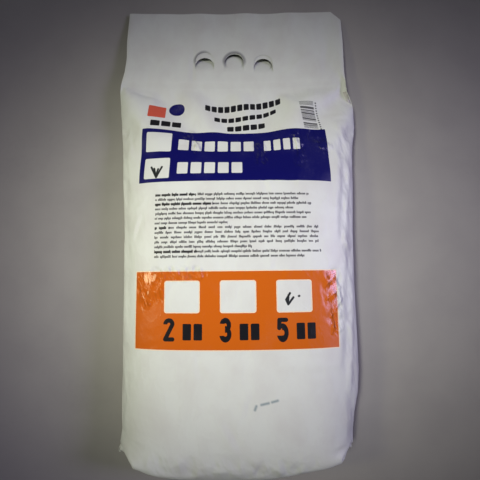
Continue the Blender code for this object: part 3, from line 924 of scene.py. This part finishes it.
# %% Build the powder
POWDER_INSET = 0.0007
powder_rows = np.arange(fine.fin + 4, fine.weld - 3, 2)
inner = (film - POWDER_INSET * skin_normals(film))[:, powder_rows, ::2]
lines, around = inner.shape[1:]
r, c = (part.ravel() for part in np.meshgrid(np.arange(lines - 1), np.arange(around), indexing="ij"))
a, b = r * around + c, (r + 1) * around + c
d, e = (r + 1) * around + (c + 1) % around, r * around + (c + 1) % around
sides = np.concatenate([np.stack([a, b, d], 1), np.stack([a, d, e], 1)])
k = np.arange(around // 2)
first, second = np.stack([k, k + 1, around - k - 1], 1), np.stack([k, around - k - 1, around - k], 1)
lower = np.concatenate([first, second[1:]])
upper = lower[:, ::-1] + (lines - 1) * around
powder = mesh_object("powder", inner.reshape(3, -1), np.concatenate([sides, lower, upper]))
print("powder", len(powder.data.polygons), "triangles")

# %% Give both pieces to the frame
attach(bag, "root")
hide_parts("bag_film")
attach(powder, "root")
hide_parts("cement_fill")
print("given to the frame", bag.name, powder.name)

# %% [markdown]
# ## Materials written as formulas
# A procedural print is a lot of arithmetic: distances, limits, products of masks. Dragging a Math node
# for every sum would hide the idea, so a `Field` stands for one number that varies over a surface, and
# adding or multiplying two fields adds the Math node and its links. What is used again becomes a node
# group with named sockets, as anybody would build it by hand in the shader editor.

# %% Fields: numbers over a surface
class Field:
    """One number or colour that varies over a surface. Arithmetic on it adds Math nodes to its node tree."""

    def __init__(self, tree, socket):
        self.tree = tree
        self.socket = socket

    def math(self, operation, *others):
        return from_node(self.tree, "Math", dict(enumerate((self, *others))), operation=operation)

    def rise(self, start, end):
        """0 up to start, 1 from end on, and a smooth step between. With start above end it falls."""
        inputs = {0: self, 1: start, 2: end}
        return from_node(self.tree, "MapRange", inputs, interpolation_type="SMOOTHSTEP")

    def inked(self):
        """The mask of a shape from the distance to its edge: 1 inside, with an edge 0.3 mm soft."""
        return self.rise(0.15, -0.15)

    def opposite(self):
        return self * -1.0 + 1.0

    def counted(self, count):
        """The whole number below this one, held between 0 and count - 1."""
        return self.math("FLOOR").at_least(0.0).at_most(count - 1.0)

    __add__ = partialmethod(math, "ADD")
    __sub__ = partialmethod(math, "SUBTRACT")
    __mul__ = partialmethod(math, "MULTIPLY")
    __truediv__ = partialmethod(math, "DIVIDE")
    size = partialmethod(math, "ABSOLUTE")
    at_least = partialmethod(math, "MAXIMUM")
    at_most = partialmethod(math, "MINIMUM")
    above = partialmethod(math, "GREATER_THAN")
    below = partialmethod(math, "LESS_THAN")


def connect(tree, value, slot):
    """Links a field to a socket, or sets the socket's own value."""
    if isinstance(value, Field):
        tree.links.new(value.socket, slot)
    else:
        slot.default_value = value


def from_node(tree, kind, inputs, output=0, **settings):
    """Adds a node with its settings, feeds its inputs by name or number, and returns one output."""
    node = tree.nodes.new("ShaderNode" + kind)
    for name, value in settings.items():
        setattr(node, name, value)
    for name, value in inputs.items():
        connect(tree, value, node.inputs[name])
    return Field(tree, node.outputs[output])


def make_group(name, outputs, formula, **inputs):
    """A node group with the sockets U, V and the given ones. formula turns their fields into outputs."""
    tree = bpy.data.node_groups.new(name, "ShaderNodeTree")
    for label, value in dict(U=0.0, V=0.0, **inputs).items():
        label = label.replace("_", " ")
        tree.interface.new_socket(label, in_out="INPUT", socket_type="NodeSocketFloat").default_value = value
    for label in outputs:
        tree.interface.new_socket(label, in_out="OUTPUT", socket_type="NodeSocketFloat")
    entry = tree.nodes.new("NodeGroupInput")
    result = tree.nodes.new("NodeGroupOutput")
    fields = [Field(tree, socket) for socket in list(entry.outputs)[: len(inputs) + 2]]
    for value, slot in zip(formula(*fields), result.inputs):
        connect(tree, value, slot)
    return tree


def use_group(group, u, v, **values):
    """Places a group in the tree of u and returns its outputs. In the names, _ stands for a space."""
    node = u.tree.nodes.new("ShaderNodeGroup")
    node.node_tree = group
    for label, value in dict(U=u, V=v, **values).items():
        connect(u.tree, value, node.inputs[label.replace("_", " ")])
    return [Field(u.tree, socket) for socket in node.outputs]


def joined(masks):
    """The greatest of several masks: ink wherever one of them has it."""
    return reduce(Field.at_least, masks)


def nearest(distances):
    return reduce(Field.at_most, distances)


def hypotenuse(a, b):
    return (a * a + b * b).math("SQRT")


def chance_of(number):
    """Chance from 0 to 1, another one for each whole number."""
    return from_node(number.tree, "TexWhiteNoise", {"W": number.math("FLOOR")}, noise_dimensions="1D")


def noise_field(u, v, size, detail=2.0, roughness=0.5, third=0.0):
    """Noise of about `size` between its swells, read at u and v, both in millimetres."""
    place = from_node(u.tree, "CombineXYZ", {0: u / size, 1: v / size, 2: third})
    inputs = {"Vector": place, "Scale": 1.0, "Detail": detail, "Roughness": roughness}
    return from_node(u.tree, "TexNoise", inputs)


# %% [markdown]
# ## Shapes of ink
# Every printed shape comes from one of a few distances: to a rounded box, to a straight stroke, to an
# oval ring. Where a distance is below zero, or below the pen's radius, there is ink. A distance is better
# than a picture of the print: it stays sharp at any size, and its numbers are millimetres on the film.

# %% Groups for boxes, strokes and rings
def box_formula(u, v, middle_u, middle_v, half_width, half_height, corner):
    """Ink of a box with quarter circles as corners: outside by both overshoots, inside by the nearer side."""
    right = (u - middle_u).size() - half_width + corner
    top = (v - middle_v).size() - half_height + corner
    outside = hypotenuse(right.at_least(0.0), top.at_least(0.0))
    return [(outside + right.at_least(top).at_most(0.0) - corner).inked()]


def stroke_formula(u, v, start_u, start_v, end_u, end_v):
    """Distance to a straight line between two points: the perpendicular's foot stays between its ends."""
    along_u, along_v = end_u - start_u, end_v - start_v
    from_u, from_v = u - start_u, v - start_v
    share = (from_u * along_u + from_v * along_v) / (along_u * along_u + along_v * along_v)
    share = share.at_least(0.0).at_most(1.0)
    return [hypotenuse(from_u - along_u * share, from_v - along_v * share)]


def ring_formula(u, v, middle_u, middle_v, radius_u, radius_v):
    """Distance to an oval line, nearly: measured from a unit circle, then turned back into millimetres."""
    from_middle = hypotenuse((u - middle_u) / radius_u, (v - middle_v) / radius_v)
    return [(from_middle - 1.0).size() * radius_u.at_most(radius_v)]


def blocks_formula(u, v, start, pitch, count, gap, middle, height):
    """A row of equal rounded blocks: U is folded into one block's own coordinate, and held at the ends."""
    place = (u - start) / pitch
    own = (place - place.counted(count) - 0.5) * pitch
    return use_group(ROUNDED_BOX, own, v - middle, Half_Width=(pitch - gap) / 2.0, Half_Height=height / 2.0)


# The sockets of the groups with their first values.
MIDDLES = dict(Middle_U=0.0, Middle_V=0.0)
HALVES = dict(Half_Width=1.0, Half_Height=1.0)
ENDS = dict(Start_U=0.0, Start_V=0.0, End_U=1.0, End_V=0.0)
ROW = dict(Start=0.0, Pitch=10.0, Count=3.0, Gap=2.0, Middle=0.0, Height=8.0)
ROUNDED_BOX = make_group("rounded box", ["Mask"], box_formula, **MIDDLES, **HALVES, Corner=1.0)
STROKE = make_group("stroke", ["Distance"], stroke_formula, **ENDS)
RING = make_group("oval ring", ["Distance"], ring_formula, **MIDDLES, Radius_U=1.0, Radius_V=1.0)
BLOCK_ROW = make_group("row of blocks", ["Mask"], blocks_formula, **ROW)
print("ink groups", [g.name for g in bpy.data.node_groups])


def box_mask(u, v, left, right, low, high, corner=0.6):
    """Ink between left and right, and between low and high, in millimetres on the film."""
    middles = dict(Middle_U=(left + right) / 2, Middle_V=(low + high) / 2)
    halves = dict(Half_Width=(right - left) / 2, Half_Height=(high - low) / 2)
    return use_group(ROUNDED_BOX, u, v, Corner=corner, **middles, **halves)[0]


def stroke(u, v, start, end):
    ends = dict(zip(ENDS, (*start, *end)))
    return use_group(STROKE, u, v, **ends)[0]


def ring(u, v, middle, radii):
    values = dict(Middle_U=middle[0], Middle_V=middle[1], Radius_U=radii[0], Radius_V=radii[1])
    return use_group(RING, u, v, **values)[0]


def block_row(u, v, *numbers):
    """A row of blocks. The numbers are start, pitch, count, gap, middle and height."""
    return use_group(BLOCK_ROW, u, v, **dict(zip(ROW, numbers)))[0]


# %% [markdown]
# ## The two coloured bands
# A dark blue band with two boxes to tick, and an orange band with three. Where the real bag has words,
# this one has rows of plain blocks of the same size, as in a layout without its text.

# %% Where the bands and boxes are, in millimetres on the film
BLUE_BAND = (-94.5, 89.8, 296.8, 354.4)  # left, right, low, high
BLUE_BOXES = ((-89.4, -64.4, 329.2, 350.2), (-89.4, -64.4, 300.6, 322.0))
BLUE_ROWS = ((-59.0, 12.9, 6, 337.2), (25.6, 9.6, 4, 337.2), (-58.4, 13.0, 5, 311.0))
ORANGE_BAND = (-95.2, 91.0, 140.8, 210.9)
SIZE_PITCH = 50.4  # between the orange band's three columns
SIZE_BOX = (-66.4, -34.0, 173.2, 202.6)
OUTLINE_WIDTH = 0.9


def three_columns(u):
    """U folded so that all three columns of the orange band lie on the left one, and the column's number."""
    first_edge = (SIZE_BOX[0] + SIZE_BOX[1] - SIZE_PITCH) / 2
    column = ((u - first_edge) / SIZE_PITCH).counted(3)
    return u - column * SIZE_PITCH, column


def blue_ink(u, v):
    """The blue band with its boxes and its rows of blocks left white."""
    ink = box_mask(u, v, *BLUE_BAND)
    for box in BLUE_BOXES:
        ink = ink * box_mask(u, v, *box, 1.4).opposite()
    for start, pitch, count, middle in BLUE_ROWS:
        ink = ink * block_row(u, v, start, pitch, count, 2.8, middle, 12.5).opposite()
    return ink


def grown(box, by):
    left, right, low, high = box
    return left - by, right + by, low - by, high + by


def orange_ink(u, v):
    """The orange band without its three boxes, and the cream line around both."""
    folded, _ = three_columns(u)
    ink = box_mask(u, v, *ORANGE_BAND) * box_mask(folded, v, *SIZE_BOX, 2.4).opposite()
    wide = box_mask(u, v, *grown(ORANGE_BAND, OUTLINE_WIDTH), 1.0)
    inner = box_mask(folded, v, *grown(SIZE_BOX, -OUTLINE_WIDTH), 1.6)
    return ink, wide * inner.opposite() * ink.opposite()


# %% [markdown]
# ## Three numerals
# Under the orange band's boxes stand the filling sizes 2, 3 and 5. A numeral is a few centre lines, rings
# and strokes, with the same thickness of ink all along. Each is written around its own middle, and the
# parts of a ring that are not wanted are moved far away by adding to their distance.

# %% Numerals
NUMERAL_MIDDLE = (-61.6, 158.4)
NUMERAL_RADIUS = 1.9
FAR = 50.0


def numeral_two(u, v):
    bowl = ring(u, v, (0.0, 4.9), (3.3, 3.5)) + v.below(4.9) * FAR
    return nearest((bowl, stroke(u, v, (3.25, 4.9), (-3.3, -8.3)), stroke(u, v, (-3.2, -8.3), (3.4, -8.3))))


def numeral_three(u, v):
    upper = ring(u, v, (0.0, 4.2), (3.1, 4.1)) + u.below(-0.4) * v.below(5.4) * FAR
    lower = ring(u, v, (0.0, -3.7), (3.4, 4.6)) + u.below(-0.4) * v.above(-5.0) * FAR
    return nearest((upper, lower))


def numeral_five(u, v):
    bowl = ring(u, v, (0.0, -3.0), (3.4, 5.3)) + u.below(-0.6) * v.below(0.8) * v.above(-5.4) * FAR
    return nearest((bowl, stroke(u, v, (-2.7, 8.3), (3.2, 8.3)), stroke(u, v, (-2.7, 8.3), (-3.0, 1.2))))


def size_ink(u, v):
    """All three numerals, each with a short pair of blocks where its unit would stand."""
    folded, column = three_columns(u)
    own_u, own_v = folded - NUMERAL_MIDDLE[0], v - NUMERAL_MIDDLE[1]
    distances = []
    for place, numeral in enumerate((numeral_two, numeral_three, numeral_five)):
        elsewhere = (column - float(place)).size().above(0.5)
        distances.append(numeral(own_u, own_v) + elsewhere * FAR)
    units = block_row(folded, v, -50.2, 9.8, 2, 2.2, 156.6, 14.5)
    return joined(((nearest(distances) - NUMERAL_RADIUS).inked(), units))


# %% [markdown]
# ## Fine print
# Fourteen lines of small black type run across the bag. Nothing is to be read there, so each line is a
# row of dashes that stand for words: a one-dimensional Voronoi pattern cuts the line into words of uneven
# length, and white noise gives every letter its own height. A ramp with constant steps says where each
# line ends.

# %% Lines of small dashes
FINE_LEFT = -77.0
FINE_TOP = 285.8
FINE_PITCH = 4.53
FINE_ENDS = (67, 57, 69, 52, 68, 64, -8, 75, 76, 76, 75, 13, 77, 61)
BOLD_ENDS = (-40, -90, -22, -90, -90, -90, -90, -62, -90, -90, -90, -90, -37, -90)
LETTER_PITCH = 1.15
WORD_PITCH = 9.0


def step_table(index, values, low=-100.0, high=100.0):
    """A number for each line of print, kept in a colour ramp with constant steps."""
    node = index.tree.nodes.new("ShaderNodeValToRGB")
    ramp = node.color_ramp
    ramp.interpolation = "CONSTANT"
    for number, value in enumerate(values):
        stop = ramp.elements[0] if number == 0 else ramp.elements.new(number / len(values))
        share = (value - low) / (high - low)
        stop.color = (share, share, share, 1)
    ramp.elements.remove(ramp.elements[-1])
    connect(index.tree, (index + 0.5) / float(len(values)), node.inputs[0])
    return Field(index.tree, node.outputs[0]) * (high - low) + low


def fine_ink(u, v):
    """Dashes that stand for words, line by line."""
    line = (v * -1.0 + FINE_TOP) / FINE_PITCH
    index, held = line.math("FLOOR"), line.counted(len(FINE_ENDS))
    down = (line - index - 0.5) * FINE_PITCH
    known = index.above(-0.5) * index.below(len(FINE_ENDS) - 0.5)
    bold = u.below(step_table(held, BOLD_ENDS))
    place = {"W": u / WORD_PITCH + index * 17.3, "Scale": 1.0, "Randomness": 0.85}
    edge = from_node(u.tree, "TexVoronoi", place, voronoi_dimensions="1D", feature="DISTANCE_TO_EDGE")
    word = edge.above(index.above(6.5) * index.below(10.5) * 0.06 + 0.055)
    letter = u / LETTER_PITCH + index * 31.7
    chance = chance_of(letter)
    upper = chance.above(0.75) * 0.75 + 0.85 + bold * 0.2
    lower = chance.below(0.12) * 0.6 + 0.85 + bold * 0.2
    height = down.above(upper * -1.0) * down.below(lower)
    slit = letter.math("FRACT").above(bold * -0.14 + 0.24)
    inside_line = u.above(FINE_LEFT) * u.below(step_table(held, FINE_ENDS))
    return known * inside_line * word * height * slit.at_least(bold * 0.6)


# %% [markdown]
# ## Small print, pen and stamp
# Above the blue band the bag has a small badge, three rows of black type on a gentle curve, and stripes
# for a till. They become two plain patches with a short row of blocks below, three curved rows of blocks,
# and a column of stripes of uneven width. Somebody ticked two boxes with a felt pen, and left a faint
# bluish stamp near the lower end. At the holes a grey rim is painted shade, for the shadow in the gap
# between the flap's two plies.

# %% Curved rows, badge, stripes, pen, stamp and painted shade at the holes
CURVED_ROWS = (  # start, pitch, count, gap, middle and height, then rise to the right, and bend
    ((-33.4, 6.75, 12, 1.3, 384.8, 7.4), 0.070, 0.0022),
    ((-23.6, 7.30, 9, 1.3, 371.2, 5.4), 0.085, 0.0034),
    ((-10.2, 8.00, 5, 1.3, 360.4, 6.4), 0.060, 0.0020),
)
TICK_STROKES = (
    ((-82.3, 312.6), (-76.8, 301.8)),
    ((-71.9, 312.6), (-76.8, 301.8)),
    ((-79.4, 311.0), (-77.2, 303.0)),
    ((-75.4, 310.4), (-77.0, 303.5)),
    ((46.6, 190.4), (43.0, 184.6)),
    ((43.0, 184.6), (44.8, 180.4)),
    ((44.8, 180.4), (49.6, 186.6)),
    ((45.2, 188.6), (44.6, 182.0)),
    ((54.6, 187.7), (55.0, 187.8)),
)
STAMP_STROKES = (((33.4, 97.6), (28.6, 96.4)), ((25.6, 95.6), (19.4, 94.4)), ((15.0, 93.4), (13.8, 90.2)))
STRIPES = (67.6, 82.4, 352.6, 387.4)  # left, right, low, high
STRIPE_STEP = 0.62
# The rims of painted shade at the three holes, which stand for the shadow between the flap's plies.
HOLE_SHADE_RIMS = (  # how far outside the cut it lies, its reach, where it starts and is full across the hole
    (0.3, 3.2, 8.0, -4.0),
    (0.5, 3.4, -30.0, -24.0),
    (-1.0, 1.5, 0.0, 8.0),
)


def curved_ink(u, v):
    return joined(block_row(u, v - u * rise - u * u * bend, *row) for row, rise, bend in CURVED_ROWS)


def badge_ink(u, v):
    """Two plain patches, one red and one blue, and a short row of black blocks."""
    tilted = v - u * 0.06
    red = box_mask(u, tilted, -91.0, -73.6, 374.4, 389.6, 1.2)
    blue = box_mask(u, tilted, -70.6, -54.4, 379.4, 394.0, 7.2)
    return red, blue, block_row(u, tilted, -88.0, 10.6, 3, 1.6, 366.6, 7.0)


def stripe_ink(u, v):
    """Stripes across a leaning column, of uneven width, with a column of small blocks beside them."""
    leaning = u + v * 0.10 - 37.0
    bars = chance_of(v / STRIPE_STEP).above(0.46)
    marks = block_row(v, leaning, STRIPES[2] + 1.0, 2.75, 12, 1.1, STRIPES[1] + 2.4, 1.9)
    return box_mask(leaning, v, *STRIPES, 0.2) * bars + marks


def drawn_ink(u, v, strokes, radius, soft):
    """Strokes of a pen: full inside the radius, then fading over `soft`."""
    distance = nearest(stroke(u, v, start, end) for start, end in strokes)
    return distance.rise(radius + soft, radius - soft)


def painted_hole_shade(u, v):
    """Painted shade: a grey rim at each hole, where the gap between the plies lies in shadow, on another part
    of each arch.
    """
    rims = []
    for (centre, above), (outside, reach, start, full) in zip(HOLE_PLACES, HOLE_SHADE_RIMS):
        middle = centre * 1000, (CHAMBER_FILM + above + HOLE_LENGTH - HOLE_HALF_WIDTH) * 1000
        radius = HOLE_HALF_WIDTH * 1000 + outside
        near = ring(u, v, middle, (radius, radius)).rise(reach, 0.3)
        rims.append(near * (v - middle[1]).rise(-9.0, 2.0) * (u - middle[0]).rise(start, full))
    return joined(rims)


# %% [markdown]
# ## Dents, crinkles and dust
# Film is never quite flat: it has shallow dents a finger wide, and where it was squeezed it keeps fine
# crooked lines. The dents are plain noise. A crinkle is the crest between two swells, where noise passes
# its middle value, so its line is thin and crooked by itself. Dust gathers in spots. Powder and floor use
# the same two groups with other sizes.

# %% Groups for crinkles and dust
def crinkle_formula(u, v, size, stretch, sharpness):
    """Swells of the film, and the fine lines between them, each from 0 to 1."""
    own_u, own_v = u / size, v / (size * stretch)
    bend = noise_field(own_u * 0.6, own_v * 0.6, 1.0, 1.0, third=4.0)
    swell = noise_field(own_u + bend * 0.8, own_v - bend * 0.6, 1.0, 3.0, 0.55)
    line = ((swell - 0.5).size() * sharpness * -1.0 + 1.0).at_least(0.0)
    return [swell, line * line]


def dust_formula(u, v, size, amount):
    """Dust in soft patches of fine specks. amount is the share of the surface that the patches take."""
    patch = noise_field(u, v, size, 3.0, 0.6, third=9.0).rise(amount * -0.3 + 0.62, 0.74)
    speck = noise_field(u, v, size * 0.04, 1.0, third=2.0).rise(0.52, 0.66)
    return [patch * (speck * 0.6 + 0.4)]


CRINKLE = make_group("crinkle", ["Swell", "Line"], crinkle_formula, Size=12.0, Stretch=1.0, Sharpness=12.0)
DUST = make_group("dust", ["Dust"], dust_formula, Size=30.0, Amount=0.5)
print("surface groups", CRINKLE.name, DUST.name)

# %% [markdown]
# ## The film's material
# The real film is white polyethylene, satin rather than glossy, with flat glossy ink. In the material the
# inks are laid over the film one after another, each through its own mask, with painted shade at the
# holes' rims and a little dust last. Ink is smoother than film and has a thin coat, so it takes the
# sharper reflections.
#
# What the mesh is too coarse for goes through one Bump node, with all heights in millimetres: swells and
# crinkles, the ribs of the upper weld, the sharpest creases, small facets where the film was crumpled,
# and wider dents along its sides and its lower end.

# %% Printed film
FILM_WHITE = (0.72, 0.755, 0.68, 1)
FILM_SHADE = (0.67, 0.685, 0.62, 1)
BLUE_INK = (0.0008, 0.0006, 0.098, 1)
ORANGE_INK = (0.62, 0.125, 0.003, 1)
RED_INK = (0.62, 0.10, 0.055, 1)
CREAM_INK = (0.86, 0.72, 0.50, 1)
BLACK_INK = (0.008, 0.008, 0.010, 1)
PEN_INK = (0.014, 0.018, 0.016, 1)
STAMP_INK = (0.16, 0.24, 0.26, 1)
# The grey of the painted shade at the holes' rims, where the gap between the flap's plies lies in shadow.
HOLE_SHADE_GREY = (0.17, 0.17, 0.18, 1)
DUST_COLOUR = (0.60, 0.59, 0.56, 1)
FILM_ROUGHNESS = 0.43
INK_SMOOTHER = -0.18  # added to the roughness where there is ink
INK_COAT, COAT_ROUGHNESS = 0.6, 0.12
# Pens and reaches: full inside the first number, gone at the sum of both. All heights are in millimetres.
FELT_PEN, STAMP_PEN, CREASE_PEN = (1.0, 0.35), (0.9, 1.1), (0.9, 0.9)
FACET_REACH, DENT_REACH = (6.0, 3.0), (10.0, 7.0)
FACET_HEIGHT, DENT_HEIGHT = 7.0, 6.0
SWELL_HEIGHT, FINE_SWELL_HEIGHT = 1.1, 0.06
LINE_HEIGHT, FINE_LINE_HEIGHT = 0.08, 0.01
CREASE_HEIGHT = 0.4
RIB_PITCH, RIB_HEIGHT = 1.1, 0.07


def millimetres(place, count):
    """The first parts of a place in metres, as fields in millimetres."""
    parts = place.tree.nodes.new("ShaderNodeSeparateXYZ")
    connect(place.tree, place, parts.inputs[0])
    return [Field(place.tree, socket) * 1000.0 for socket in list(parts.outputs)[:count]]


def laid(colour, layers):
    """A colour with inks laid over it one after another, each through its mask."""
    for mask, ink in layers:
        colour = from_node(mask.tree, "Mix", {0: mask, 6: colour, 7: ink}, output=2, data_type="RGBA")
    return colour


def bumped(height, strength):
    """The normal of a surface with this height, in millimetres."""
    return from_node(height.tree, "Bump", {"Strength": strength, "Distance": 0.001, "Height": height})


def new_material(name):
    """A material, its node tree, and a dictionary of its shader's inputs to be filled."""
    material = bpy.data.materials.new(name)
    material.use_nodes = True
    return material, material.node_tree, material.node_tree.nodes["Principled BSDF"].inputs


def film_material():
    material, tree, inputs = new_material("printed white film")
    u, v = millimetres(from_node(tree, "UVMap", {}, uv_map="film"), 2)
    swell, line = use_group(CRINKLE, u, v, Size=26.0, Stretch=1.5, Sharpness=16.0)
    fine_swell, fine_line = use_group(CRINKLE, u, v, Size=7.0, Stretch=1.3, Sharpness=14.0)
    dust = use_group(DUST, u, v, Size=46.0, Amount=0.4)[0]
    orange, cream = orange_ink(u, v)
    blue = blue_ink(u, v)
    red_patch, blue_patch, bar = badge_ink(u, v)
    black = joined((size_ink(u, v), curved_ink(u, v), bar, stripe_ink(u, v) * 0.85))
    inks = joined((orange, blue, black))
    layers = (
        (swell.rise(0.35, 0.75), FILM_SHADE),
        (drawn_ink(u, v, STAMP_STROKES, *STAMP_PEN) * 0.8, STAMP_INK),
        (cream, CREAM_INK),
        (orange, ORANGE_INK),
        (blue.at_least(blue_patch), BLUE_INK),
        (red_patch, RED_INK),
        (fine_ink(u, v), BLACK_INK),
        (black, BLACK_INK),
        (drawn_ink(u, v, TICK_STROKES, *FELT_PEN), PEN_INK),
        # Painted shade: the holes' rims are darkened where the gap between the plies lies in shadow.
        (painted_hole_shade(u, v) * 0.72, HOLE_SHADE_GREY),
        (dust * (inks * -0.07 + 0.10), DUST_COLOUR),
    )
    connect(tree, laid(FILM_WHITE, layers), inputs["Base Color"])
    roughness = inks * INK_SMOOTHER + fine_swell * 0.10 + dust * 0.12 + FILM_ROUGHNESS
    connect(tree, roughness, inputs["Roughness"])
    weld = (v - CHAMBER_FILM * 1000 - 2.2).size().rise(3.0, 2.0)
    ribs = (v * (2 * math.pi / RIB_PITCH)).math("SINE") * weld * RIB_HEIGHT
    creases = [(crease[:2], crease[2:4]) for crease in SHARP_CREASES]
    folds = drawn_ink(u, v, creases, *CREASE_PEN) * CREASE_HEIGHT
    facets = noise_field(u + v * 0.25, v * 0.55, 5.5, 1.0, 0.3) - 0.5
    crumpled = drawn_ink(u, v, CRUMPLED, *FACET_REACH) * facets * FACET_HEIGHT
    dents = noise_field(u + v * 0.2, v * 0.6, 13.0, 2.0, 0.35, third=5.0) - 0.5
    dented = drawn_ink(u, v, DENTED, *DENT_REACH) * dents * DENT_HEIGHT
    swells = swell * SWELL_HEIGHT + fine_swell * FINE_SWELL_HEIGHT
    height = swells + line * LINE_HEIGHT + fine_line * FINE_LINE_HEIGHT + ribs + folds + crumpled + dented
    connect(tree, bumped(height, 0.9), inputs["Normal"])
    connect(tree, inks * INK_COAT, inputs["Coat Weight"])
    inputs["Coat Roughness"].default_value = COAT_ROUGHNESS
    return material


bag.data.materials.append(film_material())
print("film material", len(bag.data.materials[0].node_tree.nodes), "nodes")

# %% [markdown]
# ## The powder's material
# Settled white cement is matt and slightly warm, with lumps where it has caked. The floor takes the same
# recipe with other numbers.

# %% Powder
def grainy_material(name, light, dark, size, roughness, depth):
    """A matt material with swells, specks and a fine grain. Powder and floor differ in colour and size."""
    material, tree, inputs = new_material(name)
    x, y, z = millimetres(from_node(tree, "TexCoord", {}, output="Object"), 3)
    swell = use_group(CRINKLE, x, y, Size=size, Stretch=1.0, Sharpness=9.0)[0]
    dust = use_group(DUST, x, y, Size=size * 2.0, Amount=0.6)[0]
    grain = noise_field(x, y, 0.5, 2.0, third=z * 2.0)
    colour = laid(light, [(swell.rise(0.3, 0.75) * 0.6 + dust * 0.3, dark)])
    connect(tree, colour, inputs["Base Color"])
    connect(tree, dust * 0.1 + (roughness - 0.05), inputs["Roughness"])
    connect(tree, bumped(swell * depth + grain * 0.15, 0.5), inputs["Normal"])
    return material


CEMENT, CEMENT_SHADE = (0.60, 0.59, 0.55, 1), (0.50, 0.49, 0.45, 1)
powder.data.materials.append(grainy_material("white cement", CEMENT, CEMENT_SHADE, 14.0, 0.92, 1.5))
print("powder material", powder.data.materials[0].name)

# %% [markdown]
# ## Floor and light
# A plain pale floor and three soft lamps. Each lamp is a soft-edged pool of light, so the floor grows
# darker towards the edges of the picture, as it does in the photograph. The lamp above gives most of the
# light and is hidden from glossy ink, which would show it as one white patch. The warm lamp from the left
# and the cool one from the right colour the two sides as windows would, and glint in the ink.

# %% Floor and light
FLOOR_LIGHT, FLOOR_DARK = (0.38, 0.37, 0.33, 1), (0.33, 0.32, 0.29, 1)
POOL_MIDDLE = Vector((0.0, -0.03, 0.03))
LAMPS = (  # name, place, half the pool's width, power, colour, radius, whether glossy ink shows the lamp
    ("lamp above", (-0.42, 0.05, 1.15), 0.28, 44, (1, 0.998, 0.955), 0.12, False),
    ("warm side", (-0.90, 0.12, 0.85), 0.30, 12, (1, 0.93, 0.55), 0.13, True),
    ("cool side", (1.0, 0.12, 0.72), 0.32, 42, (0.66, 0.57, 1), 0.24, True),
)
ROOM_COLOUR, ROOM_STRENGTH = (0.55, 0.56, 0.60, 1), 0.14

floor_mesh = bpy.data.meshes.new("floor")
floor_mesh.from_pydata([(-4, -4, 0), (4, -4, 0), (4, 4, 0), (-4, 4, 0)], [], [(0, 1, 2, 3)])
floor = new_object("floor", floor_mesh)
floor.data.materials.append(grainy_material("pale floor", FLOOR_LIGHT, FLOOR_DARK, 60.0, 0.75, 0.3))


def pool_light(name, place, reach, power, colour, radius, mirrored):
    """A lamp that lights a soft-edged pool, reach wide each way from its middle. The camera never sees it."""
    way = POOL_MIDDLE - Vector(place)
    data = bpy.data.lights.new(name, "SPOT")
    data.spot_size = 2 * math.atan(reach / way.length)
    data.spot_blend = 1.0
    data.shadow_soft_size = radius
    data.energy = power
    data.color = colour
    lamp = new_object(name, data)
    lamp.location = place
    lamp.rotation_mode = "QUATERNION"
    lamp.rotation_quaternion = way.to_track_quat("-Z", "Y")
    lamp.visible_camera = False
    lamp.visible_glossy = mirrored


for lamp_numbers in LAMPS:
    pool_light(*lamp_numbers)
world = bpy.data.worlds.new("room")
world.use_nodes = True
background = world.node_tree.nodes["Background"].inputs
background["Color"].default_value = ROOM_COLOUR
background["Strength"].default_value = ROOM_STRENGTH
bpy.context.scene.world = world
bpy.context.scene.view_settings.view_transform = "Standard"
print("lamps", [numbers[0] for numbers in LAMPS])
